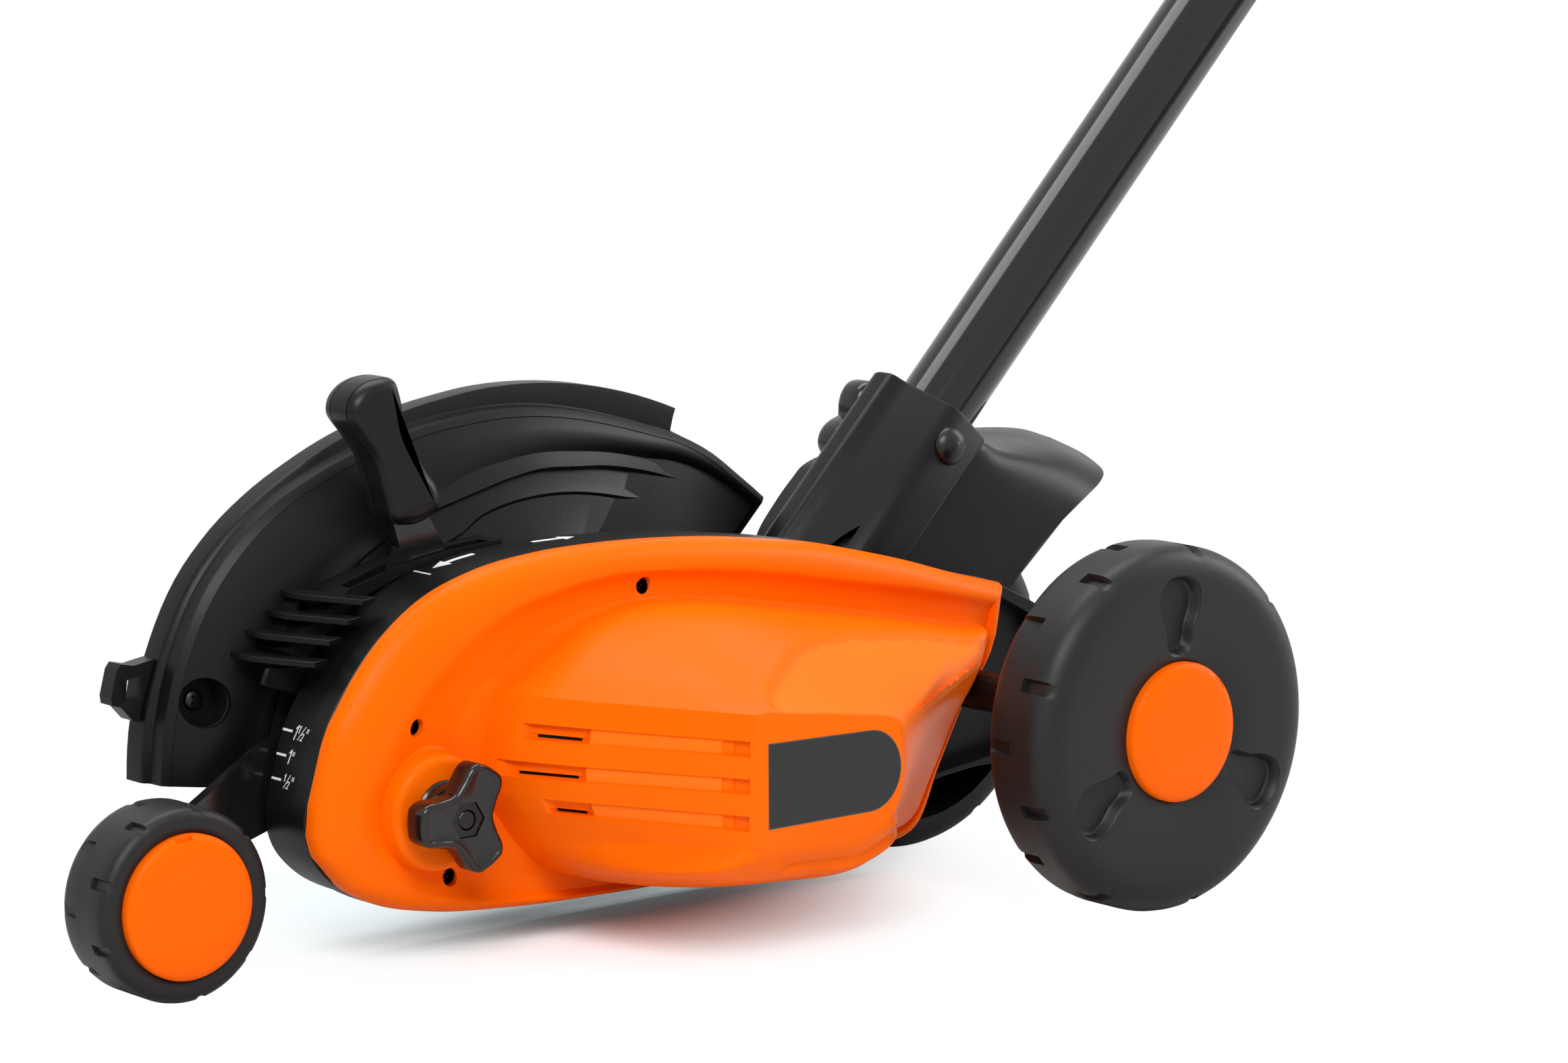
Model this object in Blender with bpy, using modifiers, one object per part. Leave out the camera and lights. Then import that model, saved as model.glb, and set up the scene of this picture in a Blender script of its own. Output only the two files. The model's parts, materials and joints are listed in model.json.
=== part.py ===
"""Electric lawn edger, modelled as an assembly of separate pieces.

The machine stands on three wheels. x runs to the rear from the rear axle, y runs across from the outer
face of the near rear wheel, and z runs up from the ground. The finished assembly hangs on one empty, which
sets the origin at the middle of its footprint.
"""
import math

import bpy
import bmesh
import numpy as np
from mathutils import Matrix, Vector

MM = 0.001
GAP = 0.3 * MM
ROUND_STEPS = 22

# Wheels and axles
REAR_RADIUS = 75 * MM
REAR_WIDTH = 37.5 * MM
REAR_CAP_RADIUS = 28.6 * MM
FAR_WHEEL_Y = 159.4 * MM
AXLE_RADIUS = 5 * MM
FRONT_RADIUS = 37.6 * MM
FRONT_CAP_RADIUS = 28.2 * MM
FRONT_AXLE_X = -385.6 * MM
FRONT_AXLE_RADIUS = 4 * MM

# Planes across the machine
COVER_Y = 138.8 * MM
HOUSING_Y = COVER_Y + GAP
BAND_Y = 153 * MM
REAR_WALL_Y = 156 * MM
HOUSING_FAR_Y = 168 * MM
PLATE_Y = 170.2 * MM
PLATE_THICKNESS = 5 * MM
GUARD_Y = 177 * MM
WALL = 3 * MM
COVER_WALL = 2.5 * MM

# Drive: motor axis, spindle axis and gears
GEAR_MODULE = 1.5 * MM
GEAR_TEETH = 42
PINION_TEETH = 12
SPINDLE = Vector((-205 * MM, 0, 70 * MM))
MOTOR_ANGLE = math.radians(7)
CENTRES = GEAR_MODULE * (GEAR_TEETH + PINION_TEETH) / 2
MOTOR = SPINDLE + Vector((CENTRES * math.cos(MOTOR_ANGLE), 0, CENTRES * math.sin(MOTOR_ANGLE)))
GEAR_WIDTH = 9 * MM
BLADE_DIAMETER = 190.5 * MM
BLADE_WIDTH = 45 * MM
BLADE_THICKNESS = 2.8 * MM
BLADE_Y = 197 * MM

# Depth lever
PIVOT = Vector((-281 * MM, 0, 62 * MM))
LOCK_BOLT_RADIUS = 4 * MM
LOCK_BOLT_PLAY = 0.1 * MM
KNOB_FACE_Y = 101 * MM

# Handle tube: it leans back in the plane y = TUBE_Y
TUBE_Y = 174 * MM
TUBE_RADIUS = 17 * MM
TUBE_LEAN = math.radians(45.9)
TUBE_POINT = Vector((25.7 * MM, TUBE_Y, REAR_RADIUS + 116.2 * MM))
TUBE_DIRECTION = Vector((math.cos(TUBE_LEAN), 0, math.sin(TUBE_LEAN)))
TUBE_FRONT = Vector((-math.sin(TUBE_LEAN), 0, math.cos(TUBE_LEAN)))
TUBE_START = -36 * MM
TUBE_JOINT = 470 * MM
TUBE_END = 900 * MM
SOCKET_TOP = -8 * MM
SOCKET_FOOT = -86 * MM
SOCKET_BOLT = -22.8 * MM
AUX_STATION = 640 * MM

# Guard: its rows fan out round this point
GUARD_CENTRE = Vector((-204 * MM, 0, 57 * MM))


def rear_axle_point(y=0.0):
    return Vector((0, y, REAR_RADIUS))


def front_axle_point(y=0.0):
    return Vector((FRONT_AXLE_X, y, FRONT_RADIUS))


def tube_point(station, front=0.0, across=0.0):
    """Point beside the handle tube: along it, towards its front side and across the machine."""
    return TUBE_POINT + TUBE_DIRECTION * station + TUBE_FRONT * front + Vector((0, across, 0))


# Scene, collections and materials
for old in list(bpy.data.objects):
    bpy.data.objects.remove(old)

PARTS = bpy.data.collections.new("lawn_edger")
CUTTERS = bpy.data.collections.new("cutters")
for collection in (PARTS, CUTTERS):
    bpy.context.scene.collection.children.link(collection)

ROOT = bpy.data.objects.new("edger_origin", None)
PARTS.objects.link(ROOT)


def material(name, colour, roughness, metallic=0.0):
    made = bpy.data.materials.new(name)
    made.use_nodes = True
    shader = made.node_tree.nodes["Principled BSDF"]
    shader.inputs["Base Color"].default_value = (*colour, 1)
    shader.inputs["Roughness"].default_value = roughness
    shader.inputs["Metallic"].default_value = metallic
    return made


ORANGE = material("orange_plastic", (0.9, 0.13, 0.0), 0.4)
BLACK = material("black_plastic", (0.02, 0.02, 0.021), 0.5)
RUBBER = material("soft_grip", (0.025, 0.025, 0.026), 0.7)
PAINTED = material("black_paint", (0.012, 0.012, 0.013), 0.25)
STEEL = material("steel", (0.5, 0.5, 0.5), 0.3, 1.0)
IRON = material("laminated_iron", (0.25, 0.25, 0.26), 0.5, 1.0)
COPPER = material("copper", (0.7, 0.3, 0.15), 0.35, 1.0)
ZINC = material("zinc_steel", (0.6, 0.6, 0.58), 0.35, 1.0)


# Helpers for meshes
def finish(mesh, name, surface, origin=(0, 0, 0), sharp=35):
    """Make a mesh in machine coordinates into a part whose origin lies at the given point."""
    mesh.name = name
    mesh.transform(Matrix.Translation(-Vector(origin)))
    mesh.shade_smooth()
    mesh.set_sharp_from_angle(angle=math.radians(sharp))
    mesh.materials.append(surface)
    part = bpy.data.objects.new(name, mesh)
    part.location = origin
    part.parent = ROOT
    PARTS.objects.link(part)
    return part


def as_cutter(mesh, name):
    cutter = bpy.data.objects.new(name, mesh)
    cutter.parent = ROOT
    cutter.hide_render = True
    cutter.display_type = "WIRE"
    CUTTERS.objects.link(cutter)
    return cutter


def boolean(part, mesh, name, operation="DIFFERENCE", solver="EXACT"):
    tool = part.modifiers.new(name, "BOOLEAN")
    tool.operation = operation
    tool.solver = solver
    tool.object = as_cutter(mesh, name)
    return part


def closed_boolean(part, mesh, name, operation="DIFFERENCE"):
    """A cut or join between closed meshes whose faces meet too closely for the exact solver."""
    return boolean(part, mesh, name, operation, "MANIFOLD")


def joined(meshes):
    build = bmesh.new()
    for mesh in meshes:
        build.from_mesh(mesh)
        bpy.data.meshes.remove(mesh)
    result = bpy.data.meshes.new("joined")
    build.to_mesh(result)
    build.free()
    return result


def plate(loops, y_near, y_far, edge=0.0):
    """A flat outline, with holes, drawn in x and z and given its thickness along y."""
    curve = bpy.data.curves.new("outline", "CURVE")
    curve.dimensions = "2D"
    curve.fill_mode = "BOTH"
    curve.extrude = (y_far - y_near) / 2 - edge
    curve.bevel_depth = edge
    curve.bevel_resolution = 0
    curve.offset = -edge
    for loop in loops:
        spline = curve.splines.new("POLY")
        spline.points.add(len(loop) - 1)
        for point, (x, z) in zip(spline.points, loop):
            point.co = (x, z, 0, 1)
        spline.use_cyclic_u = True
    holder = bpy.data.objects.new("outline", curve)
    CUTTERS.objects.link(holder)
    mesh = bpy.data.meshes.new_from_object(holder.evaluated_get(bpy.context.evaluated_depsgraph_get()))
    bpy.data.objects.remove(holder)
    build = bmesh.new()
    build.from_mesh(mesh)
    bmesh.ops.remove_doubles(build, verts=build.verts, dist=0.00001)
    build.to_mesh(mesh)
    build.free()
    upright = Matrix.Rotation(math.radians(90), 4, "X")
    mesh.transform(Matrix.Translation((0, (y_near + y_far) / 2, 0)) @ upright)
    mesh.materials.clear()
    return mesh


def circle(centre, radius, count=ROUND_STEPS, start=0.0):
    turns = [start + 2 * math.pi * index / count for index in range(count)]
    return [(centre[0] + radius * math.cos(a), centre[-1] + radius * math.sin(a)) for a in turns]


def disc(centre, radius, y_near, y_far, count=ROUND_STEPS):
    return plate([circle(centre, radius, count)], y_near, y_far)


def ring(centre, outer, inner, y_near, y_far, count=ROUND_STEPS):
    return plate([circle(centre, outer, count), circle(centre, inner, count)], y_near, y_far)


def rod(start, end, radius, count=24, end_radius=None):
    start, end = Vector(start), Vector(end)
    build = bmesh.new()
    turn = (end - start).to_track_quat("Z", "Y").to_matrix().to_4x4()
    bmesh.ops.create_cone(
        build, cap_ends=True, segments=count, radius1=radius,
        radius2=radius if end_radius is None else end_radius, depth=(end - start).length,
        matrix=Matrix.Translation((start + end) / 2) @ turn)
    mesh = bpy.data.meshes.new("rod")
    build.to_mesh(mesh)
    build.free()
    return mesh


def box(low, high, edge=0.0, turn=None):
    low, high = Vector(low), Vector(high)
    size = high - low
    frame = Matrix.Translation((low + high) / 2) @ (turn or Matrix.Identity(4))
    build = bmesh.new()
    bmesh.ops.create_cube(build, size=1, matrix=frame @ Matrix.Diagonal((*size, 1)))
    if edge:
        bmesh.ops.bevel(build, geom=build.edges[:], offset=edge, segments=1, affect="EDGES")
    mesh = bpy.data.meshes.new("box")
    build.to_mesh(mesh)
    build.free()
    return mesh


def turned(name, profile, centre, surface, count=ROUND_STEPS, closed=False, sharp=35):
    """A profile of radius and y, turned round the axis that runs across the machine at centre."""
    points = list(profile)
    area = sum(a[0] * b[1] - b[0] * a[1] for a, b in zip(points, points[1:] + points[:1]))
    if area > 0:
        points.reverse()
    edges = [(index, index + 1) for index in range(len(points) - 1)]
    if closed:
        edges.append((len(points) - 1, 0))
    mesh = bpy.data.meshes.new(name)
    mesh.from_pydata([(radius, y, 0) for radius, y in points], edges, [])
    part = bpy.data.objects.new(name, mesh)
    part.location = (centre[0], 0, centre[2])
    part.parent = ROOT
    mesh.materials.append(surface)
    screw = part.modifiers.new("turned", "SCREW")
    screw.axis = "Y"
    screw.steps = screw.render_steps = count
    screw.use_merge_vertices = True
    screw.merge_threshold = 0.00001
    screw.use_smooth_shade = True
    PARTS.objects.link(part)
    return part


def loft(rings, cap_first=True, cap_last=True):
    build = bmesh.new()
    rows = [[build.verts.new(point) for point in row] for row in rings]
    count = len(rows[0])
    for low, high in zip(rows, rows[1:]):
        for index in range(count):
            after = (index + 1) % count
            build.faces.new((low[index], low[after], high[after], high[index]))
    if cap_first:
        build.faces.new(list(reversed(rows[0])))
    if cap_last:
        build.faces.new(rows[-1])
    bmesh.ops.recalc_face_normals(build, faces=build.faces)
    mesh = bpy.data.meshes.new("loft")
    build.to_mesh(mesh)
    build.free()
    return mesh


def inset_loop(loop, distance):
    """The closed loop in x and z moved inwards; its points run clockwise from the front over the top."""
    loop = np.array(loop, dtype=float)
    along = np.roll(loop, -1, axis=0) - np.roll(loop, 1, axis=0)
    along /= np.linalg.norm(along, axis=1)[:, None]
    inward = np.stack([along[:, 1], -along[:, 0]], axis=1)
    return loop + inward * distance


# Outlines in x and z, clockwise from the front over the top
PARTING = np.array([
    (-331.5, 59.7), (-327.8, 76), (-320.7, 97), (-309.3, 114), (-295.7, 129), (-277.5, 142), (-250, 151.5),
    (-221, 155.3), (-192, 156), (-156, 154.6), (-131, 152.4), (-106, 149), (-81, 145), (-55.5, 139),
    (-29, 132), (-3, 124), (23, 117), (16.7, 93.5), (-2, 67), (-15.6, 42.6), (-27.5, 18),
    (-70, 14.5), (-130, 13.6), (-191, 14.2), (-241, 16), (-277.7, 19.8), (-302.4, 26.4), (-317.7, 35.3),
    (-328.5, 48)]) * MM
CHANNEL = np.array([
    (-312, 58), (-307, 73), (-294, 95.5), (-284, 108), (-271, 119), (-259, 128), (-241.5, 136),
    (-221, 141), (-195, 144.5), (-160, 143.5), (-135, 141), (-108, 137), (-82, 132), (-57, 127),
    (-32, 122), (-8, 116.5), (14, 111), (11.5, 92.5), (-6, 67.5), (-19.8, 43.3), (-32, 22.5),
    (-71, 17.3), (-130, 16.6), (-191, 17), (-232, 19), (-264, 23.5), (-288, 29.5), (-302, 37),
    (-310, 47)]) * MM
BASE = np.array([
    (-257, 72), (-255.6, 82), (-252, 95), (-248, 104.5), (-241, 108), (-227, 116), (-211, 125),
    (-197, 129.5), (-182, 132), (-155, 131), (-128, 127), (-100, 121.5), (-76, 117), (-52, 112.5),
    (-28, 107.5), (-8, 103), (12, 98), (8, 88), (-8, 66.5), (-22, 43), (-34.5, 24),
    (-72, 21), (-130, 20.5), (-183, 21), (-206, 23.5), (-221, 28.5), (-233, 37), (-242, 46),
    (-252, 60)]) * MM
FACE = np.array([
    (-204, 79), (-204, 88), (-203.6, 96), (-203, 104.6), (-198, 104.8), (-190, 103.6), (-183, 102.6),
    (-176, 101.6), (-169, 100.6), (-162, 99.6), (-155, 98.6), (-149, 97.7), (-143, 96.8), (-138, 96),
    (-133.5, 94.5), (-130.5, 91), (-129, 86), (-128.3, 78), (-128.5, 70), (-130, 63), (-133, 57.5),
    (-138, 53.5), (-147, 51.5), (-160, 51), (-174, 51.2), (-188, 51.6), (-198, 52), (-204.6, 53),
    (-204.4, 66)]) * MM
FACE_Y = 23 * MM


# Rows of the cover between its near face and the foot of the bulge: y, sideways stay of the roof, of the
# flank, of the belly and of the front
COVER_ROWS = [
    (23.0, 0.0, 0.0, 0.0, 0.0),
    (26.0, 0.045, 0.035, 0.28, 0.03),
    (36.0, 0.15, 0.13, 0.54, 0.13),
    (56.0, 0.38, 0.32, 0.72, 0.35),
    (86.0, 0.68, 0.62, 0.88, 0.66),
    (114.0, 0.91, 0.9, 0.97, 0.91),
]

COVER_ROWS_OUTSIDE_ONLY = (1,)


def cover_rings():
    rings = []
    roof = np.zeros(len(FACE))
    flank = np.zeros(len(FACE))
    belly = np.zeros(len(FACE))
    front = np.zeros(len(FACE))
    roof[4:16] = 1
    flank[16:21] = 1
    belly[21:27] = 1
    front[27:] = 1
    front[:4] = 1
    for y, on_roof, on_flank, on_belly, on_front in COVER_ROWS:
        share = (roof * on_roof + flank * on_flank + belly * on_belly + front * on_front)[:, None]
        rings.append((y * MM, FACE * (1 - share) + BASE * share))
    rings.append((129.5 * MM, BASE))
    rings.append((126 * MM, CHANNEL))
    rings.append((127.5 * MM, PARTING))
    rings.append((COVER_Y, PARTING))
    return rings


def ring_points(loop, y):
    return [(x, y, z) for x, z in loop]


def cover_shell():
    outer = cover_rings()
    rows = [ring_points(loop, y) for y, loop in outer]
    inner = []
    for index, (y, loop) in enumerate(outer):
        if index in COVER_ROWS_OUTSIDE_ONLY:
            continue
        inset = inset_loop(loop, COVER_WALL)
        last = index == len(outer) - 1
        inner.append(ring_points(inset, y if last else y + (COVER_WALL if index < len(COVER_ROWS) else 3.5 * MM)))
    return loft(inner + rows[::-1])


# Orange motor cover
cover = finish(cover_shell(), "motor_cover", ORANGE, sharp=28)
boolean(cover, rod((PIVOT.x, 117.5 * MM, PIVOT.z), (PIVOT.x, 130.5 * MM, PIVOT.z), 23 * MM, 26),
        "knob_boss", "UNION")
boolean(cover, rod((PIVOT.x, 100 * MM, PIVOT.z), (PIVOT.x, 145 * MM, PIVOT.z), LOCK_BOLT_RADIUS + GAP, 16),
        "lock_bolt_hole")
COVER_SCREWS = [(-286, 95), (-270.5, 33.4), (-173, 138)]
for number, (x, z) in enumerate(COVER_SCREWS):
    boolean(cover, rod((x * MM, 110 * MM, z * MM), (x * MM, 145 * MM, z * MM), 2.6 * MM, 10),
            f"cover_screw_hole_{number}")
boolean(cover, rod((0, 60 * MM, REAR_RADIUS), (0, 145 * MM, REAR_RADIUS), 9 * MM, 16), "axle_notch",
        solver="MANIFOLD")
VENT_ANGLE = math.atan2(-34, 20)
slots = []
for z in (92, 78.5, 63.5):
    turn = Matrix.Rotation(VENT_ANGLE, 4, "Z")
    slots.append(box((-257 * MM, 94 * MM, (z - 2.2) * MM), (-225 * MM, 112 * MM, (z + 2.2) * MM), turn=turn))
boolean(cover, joined(slots), "cover_vents", solver="MANIFOLD")


# Black gear housing
HOUSING = np.concatenate([PARTING[:17], np.array([
    (36, 111), (56, 99), (67, 84), (68, 66), (60, 48), (42, 39), (10, 37), (-20, 32), (-42, 20)]) * MM,
    PARTING[21:]])
WHEEL_CLEARANCE = REAR_RADIUS + 3.4 * MM
housing = finish(plate([HOUSING], HOUSING_Y, BAND_Y), "gear_housing", BLACK)
drum = [p for p in inset_loop(HOUSING, 1 * MM)]
closed_boolean(housing, plate([drum], BAND_Y - 2 * MM, HOUSING_FAR_Y), "scale_band", "UNION")
closed_boolean(housing, disc((0, 0, REAR_RADIUS), WHEEL_CLEARANCE, REAR_WALL_Y, 200 * MM, 28), "far_wheel_room")
room = inset_loop(HOUSING, 4 * MM)[::2]
closed_boolean(housing, plate([room], 120 * MM, BAND_Y - WALL), "gear_room")
deep = [tuple(p) for p in room if p[0] < -76 * MM]
closed_boolean(housing, plate([deep], 130 * MM, HOUSING_FAR_Y - WALL), "drum_room")
closed_boolean(housing, disc(SPINDLE, 19.6 * MM, 156 * MM, 176.2 * MM), "spindle_boss", "UNION")
closed_boolean(housing, disc(SPINDLE, 15.3 * MM, 150 * MM, 168 * MM, 20), "bearing_seat")
closed_boolean(housing, disc(SPINDLE, 10 * MM, 150 * MM, 180 * MM, 16), "spindle_hole")
GUARD_SCREWS = [(-190, 128), (-165, 118), (-176, 94)]
for number, (x, z) in enumerate(GUARD_SCREWS):
    point = (x * MM, 0, z * MM)
    closed_boolean(housing, disc(point, 6 * MM, HOUSING_FAR_Y - 4 * MM, GUARD_Y - GAP, 10),
            f"guard_boss_{number}", "UNION")
closed_boolean(housing, disc(PIVOT, 9 * MM, 150 * MM, 166 * MM, 14), "pivot_boss", "UNION")
closed_boolean(housing, disc(PIVOT, LOCK_BOLT_RADIUS + GAP, 130 * MM, 180 * MM, 16), "pivot_hole")
closed_boolean(housing, ring((0, 0, REAR_RADIUS), 11 * MM, 3 * MM, HOUSING_Y + 2 * MM, 155.5 * MM, 18),
        "axle_boss", "UNION")
closed_boolean(housing, disc((0, 0, REAR_RADIUS), AXLE_RADIUS + GAP, 130 * MM, 170 * MM, 20), "axle_hole")


# Wheels; each hollow runs outwards from the hub: reach and half width
HOLLOW_SHAPE = [(34, 0), (35.5, 3.2), (46, 5.6), (54, 8.6), (60.5, 7), (63, 0)]


def rear_wheel(name, outer_y, side, count=28):
    """A rear wheel; its outer face lies at outer_y and its hub runs inwards in the direction of side."""
    def at(depth):
        return outer_y + side * depth * MM
    section = [(62, 16), (17, 16), (17, 39.5), (5.05, 39.5), (5.05, 10), (28.9, 10), (28.9, 1), (62, 0),
               (70, 2), (75, 8.5), (75, 29), (70, 36), (62, 37.5)]
    wheel = turned(name, [(r * MM, at(d)) for r, d in section], rear_axle_point(), BLACK, count, True)
    notches = []
    for row, (low, high) in enumerate(((-2, 17.5), (20, 40))):
        for index in range(9):
            angle = math.radians(40 * index + 20 * row)
            turn = Matrix.Rotation(-angle, 4, "Y")
            centre = rear_axle_point(at((low + high) / 2)) + turn @ Vector((75.4 * MM, 0, 0))
            half = Vector((3 * MM, (high - low) * MM / 2, 2.1 * MM))
            notches.append(box(centre - half, centre + half, turn=turn))
    boolean(wheel, joined(notches), f"{name}_notches")
    hollows = []
    for angle in (90, 210, 330):
        turn = math.radians(angle)
        outward = Vector((math.cos(turn), 0, math.sin(turn)))
        sideways = Vector((-math.sin(turn), 0, math.cos(turn)))
        outline = []
        for reach, half in HOLLOW_SHAPE + [(r, -h) for r, h in reversed(HOLLOW_SHAPE[1:-1])]:
            point = outward * reach * MM + sideways * half * MM
            outline.append((point.x, REAR_RADIUS + point.z))
        low, high = sorted((at(-3), at(5)))
        hollows.append(plate([outline], low, high))
    boolean(wheel, joined(hollows), f"{name}_hollows")
    return wheel


near_wheel = rear_wheel("rear_wheel_near", 0.0, 1)
FAR_FACE_Y = FAR_WHEEL_Y + REAR_WIDTH
far_wheel = rear_wheel("rear_wheel_far", FAR_FACE_Y, -1)


def hub_cap(name, outer_y, side, radius, centre, skirt=8.5):
    def at(depth):
        return outer_y + side * depth * MM
    r = radius / MM
    section = [(0, -4), (r - 4, -3.7), (r, -1.2), (r, skirt), (r - 2, skirt), (r - 2, 0), (0, -1)]
    cap = turned(name, [(a * MM, at(d)) for a, d in section], centre, ORANGE, 24)
    notch = Vector((centre[0] + 0.72 * radius, at(-4), centre[2] + 0.69 * radius))
    half = Vector((3.4, 1.4, 1.5)) * MM
    turn = Matrix.Rotation(math.radians(-44), 4, "Y")
    boolean(cap, box(notch - half, notch + half, turn=turn), f"{name}_notch")
    return cap


hub_cap("rear_cap_near", 0.0, 1, REAR_CAP_RADIUS, rear_axle_point())
hub_cap("rear_cap_far", FAR_FACE_Y, -1, REAR_CAP_RADIUS, rear_axle_point())

FRONT_NEAR_Y = 138 * MM
front_section = [(4.05, 7.5), (28.5, 7.5), (28.5, 0.5), (34.1, 0), (37.6, 3.5), (37.6, 26.9), (34.1, 30.4),
                 (24, 30.4), (22, 24), (14, 24), (12, 30.4), (4.05, 30.4)]
front_wheel = turned("front_wheel", [(r * MM, FRONT_NEAR_Y + d * MM) for r, d in front_section],
                     front_axle_point(), BLACK, 24, True)
notches = []
for row, (low, high) in enumerate(((-2, 11), (19.5, 33))):
    for index in range(9):
        angle = math.radians(40 * index + 20 * row)
        turn = Matrix.Rotation(-angle, 4, "Y")
        centre = front_axle_point(FRONT_NEAR_Y + (low + high) / 2 * MM) + turn @ Vector((38 * MM, 0, 0))
        half = Vector((2.2 * MM, (high - low) * MM / 2, 1.7 * MM))
        notches.append(box(centre - half, centre + half, turn=turn))
boolean(front_wheel, joined(notches), "front_wheel_notches")
hub_cap("front_cap", FRONT_NEAR_Y, 1, FRONT_CAP_RADIUS, front_axle_point(), 6.5)


# Depth plate with the front wheel's arm
DEPTH_PLATE = [
    (-399, 37), (-396, 46), (-388, 51.5), (-376, 58), (-362, 67), (-331, 86), (-305, 97), (-287, 116),
    (-271, 138), (-262.5, 158), (-266.5, 172), (-276, 200), (-268, 203), (-256, 180), (-251.5, 172.5), (-247, 167),
    (-240.5, 156), (-253, 130), (-265, 104), (-262, 78), (-262, 56), (-272, 45), (-290, 44), (-322, 55), (-348, 47), (-372, 27),
    (-386, 23.5), (-396, 28)]
depth_loop = [(x * MM, z * MM) for x, z in DEPTH_PLATE]
pivot_holes = [circle(PIVOT, LOCK_BOLT_RADIUS + LOCK_BOLT_PLAY, 18),
               circle(front_axle_point(), FRONT_AXLE_RADIUS + GAP, 18)]
depth_plate = finish(plate([depth_loop] + pivot_holes, PLATE_Y, PLATE_Y + PLATE_THICKNESS), "depth_plate",
                     PAINTED, PIVOT + Vector((0, PLATE_Y, 0)))
GRIP = np.array([
    (-290.4, 214), (-289.5, 218.5), (-285, 223.5), (-276, 226.5), (-267.5, 225.5), (-264.8, 219), (-262.8, 207),
    (-254, 190), (-247.5, 180.5), (-246.8, 174), (-251.5, 169.5), (-261, 167), (-268.5, 169), (-272.5, 180),
    (-277.5, 195), (-284, 204)]) * MM
grip_rows = []
for y, inset in ((161, 5), (163, 1.6), (167, 0), (177.5, 0), (181.5, 1.6), (183.2, 5)):
    grip_rows.append(ring_points(inset_loop(GRIP, inset * MM), y * MM))
lever_grip = finish(loft(grip_rows), "depth_lever_grip", RUBBER, PIVOT + Vector((0, PLATE_Y, 0)), 50)
GRIP_SLOT = [(-277, 201.5), (-267.6, 204.2), (-255.2, 180), (-250.6, 172.6), (-246, 166), (-239, 154), (-263, 154),
             (-267.2, 172)]
boolean(lever_grip, plate([[(x * MM, z * MM) for x, z in GRIP_SLOT]], PLATE_Y - GAP,
                          PLATE_Y + PLATE_THICKNESS + GAP), "plate_slot")


# Louvred deck in front of the lever's slot
DECK = np.concatenate([[(-326, 87), (-331.5, 112)], [(-318, 121), (-304, 134), (-288, 144.5), (-266, 151),
                       (-241, 154.5)]]) * MM
deck_inner = [(-239.5, 151.5), (-265, 148), (-286, 141), (-301.5, 131), (-314, 119), (-319, 110), (-317, 87)]
deck_loop = [tuple(p) for p in DECK] + [(x * MM, z * MM) for x, z in deck_inner]
grille = finish(plate([deck_loop], HOUSING_FAR_Y + GAP, 181.5 * MM), "front_grille", BLACK, sharp=25)
fins = []
for x, z in ((-298.5, 142), (-305.5, 135), (-314.5, 128), (-321.5, 120.2)):
    centre = Vector((x, 172.4, z)) * MM
    turn = Matrix.Rotation(math.radians(-69), 4, "Z")
    fins.append(box(centre - Vector((17.5, 4.5, 1.2)) * MM, centre + Vector((17.5, 4.5, 1.2)) * MM, turn=turn))
boolean(grille, joined(fins), "grille_fins", "UNION")
boolean(grille, plate([[(-292 * MM, 160 * MM), (-230 * MM, 170 * MM), (-230 * MM, 130 * MM), (-283 * MM, 130 * MM)]],
                      PLATE_Y - 1 * MM, PLATE_Y + PLATE_THICKNESS + 1 * MM), "lever_slot")
boolean(grille, plate([[(-345 * MM, 104 * MM), (-312 * MM, 104 * MM), (-312 * MM, 80 * MM), (-345 * MM, 80 * MM)]],
                      PLATE_Y - 1 * MM, PLATE_Y + PLATE_THICKNESS + 1 * MM), "arm_slot")

# Blade guard: for each row its angle, then the radii of the flat wall, of the two ribs on the cone, of the
# crease and of the rim
GUARD_ROWS = [
    (175, 82, 101, 115, 121, 153.5, 157.0), (166, 82, 101, 115, 121, 155.0, 158.7),
    (157, 82, 101, 115, 121, 156.4, 159.3), (147, 82, 101, 115, 121, 157.4, 160.0),
    (138, 82, 101, 115, 121, 156.0, 158.5), (129, 82, 101, 115, 121, 153.3, 155.8),
    (120, 82, 101, 115, 121, 149.6, 153.2), (111, 82, 101, 115, 121, 147.0, 152.0),
    (102, 82, 102, 115, 121, 145.3, 151.3), (94, 82, 107, 116.5, 124, 145.4, 152.2),
    (86, 83, 110.5, 120, 127, 146.8, 154.8), (78, 85, 114, 124.5, 131, 149.0, 158.2),
    (70, 88, 118, 128.5, 135, 151.8, 162.6), (63, 91, 122, 134, 140, 155.2, 167.2),
    (56, 95, 127, 140, 146, 160.0, 172.6), (51, 98, 133, 145, 151.5, 165.0, 177.0),
    (50, 99, 134, 146, 153, 166.0, 168.0), (44, 103, 140, 153, 160, 171.0, 172.5),
    (38, 107, 147, 160, 167, 175.0, 176.5), (32.5, 111, 153, 166, 172, 180.0, 181.0)]
CONE_FOOT_Y = GUARD_Y
CONE_SLOPE = 0.33


def guard_ring(angle, wall, rib, step, ridge, crease, rim):
    def cone(radius):
        return CONE_FOOT_Y / MM + CONE_SLOPE * (radius - 82)
    turn = math.radians(angle)
    outward = Vector((math.cos(turn), 0, math.sin(turn)))
    rise = 1.6 if angle < 125 else 0.3
    section = [(36, 177), (wall, 177), (rib, cone(rib)), (step - 2, cone(step) - 0.4), (step, cone(step) - rise - 0.6),
               (ridge, cone(ridge) - 0.6), (crease, 199), (crease + 1.6, 207), (rim, 208.5), (rim, 219),
               (rim - 3, 219), (crease - 1.2, 209), (crease - 2.4, 202.4), (wall + 1, 180.2), (36, 180)]
    return [GUARD_CENTRE + outward * r * MM + Vector((0, y * MM, 0)) for r, y in section]


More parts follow.
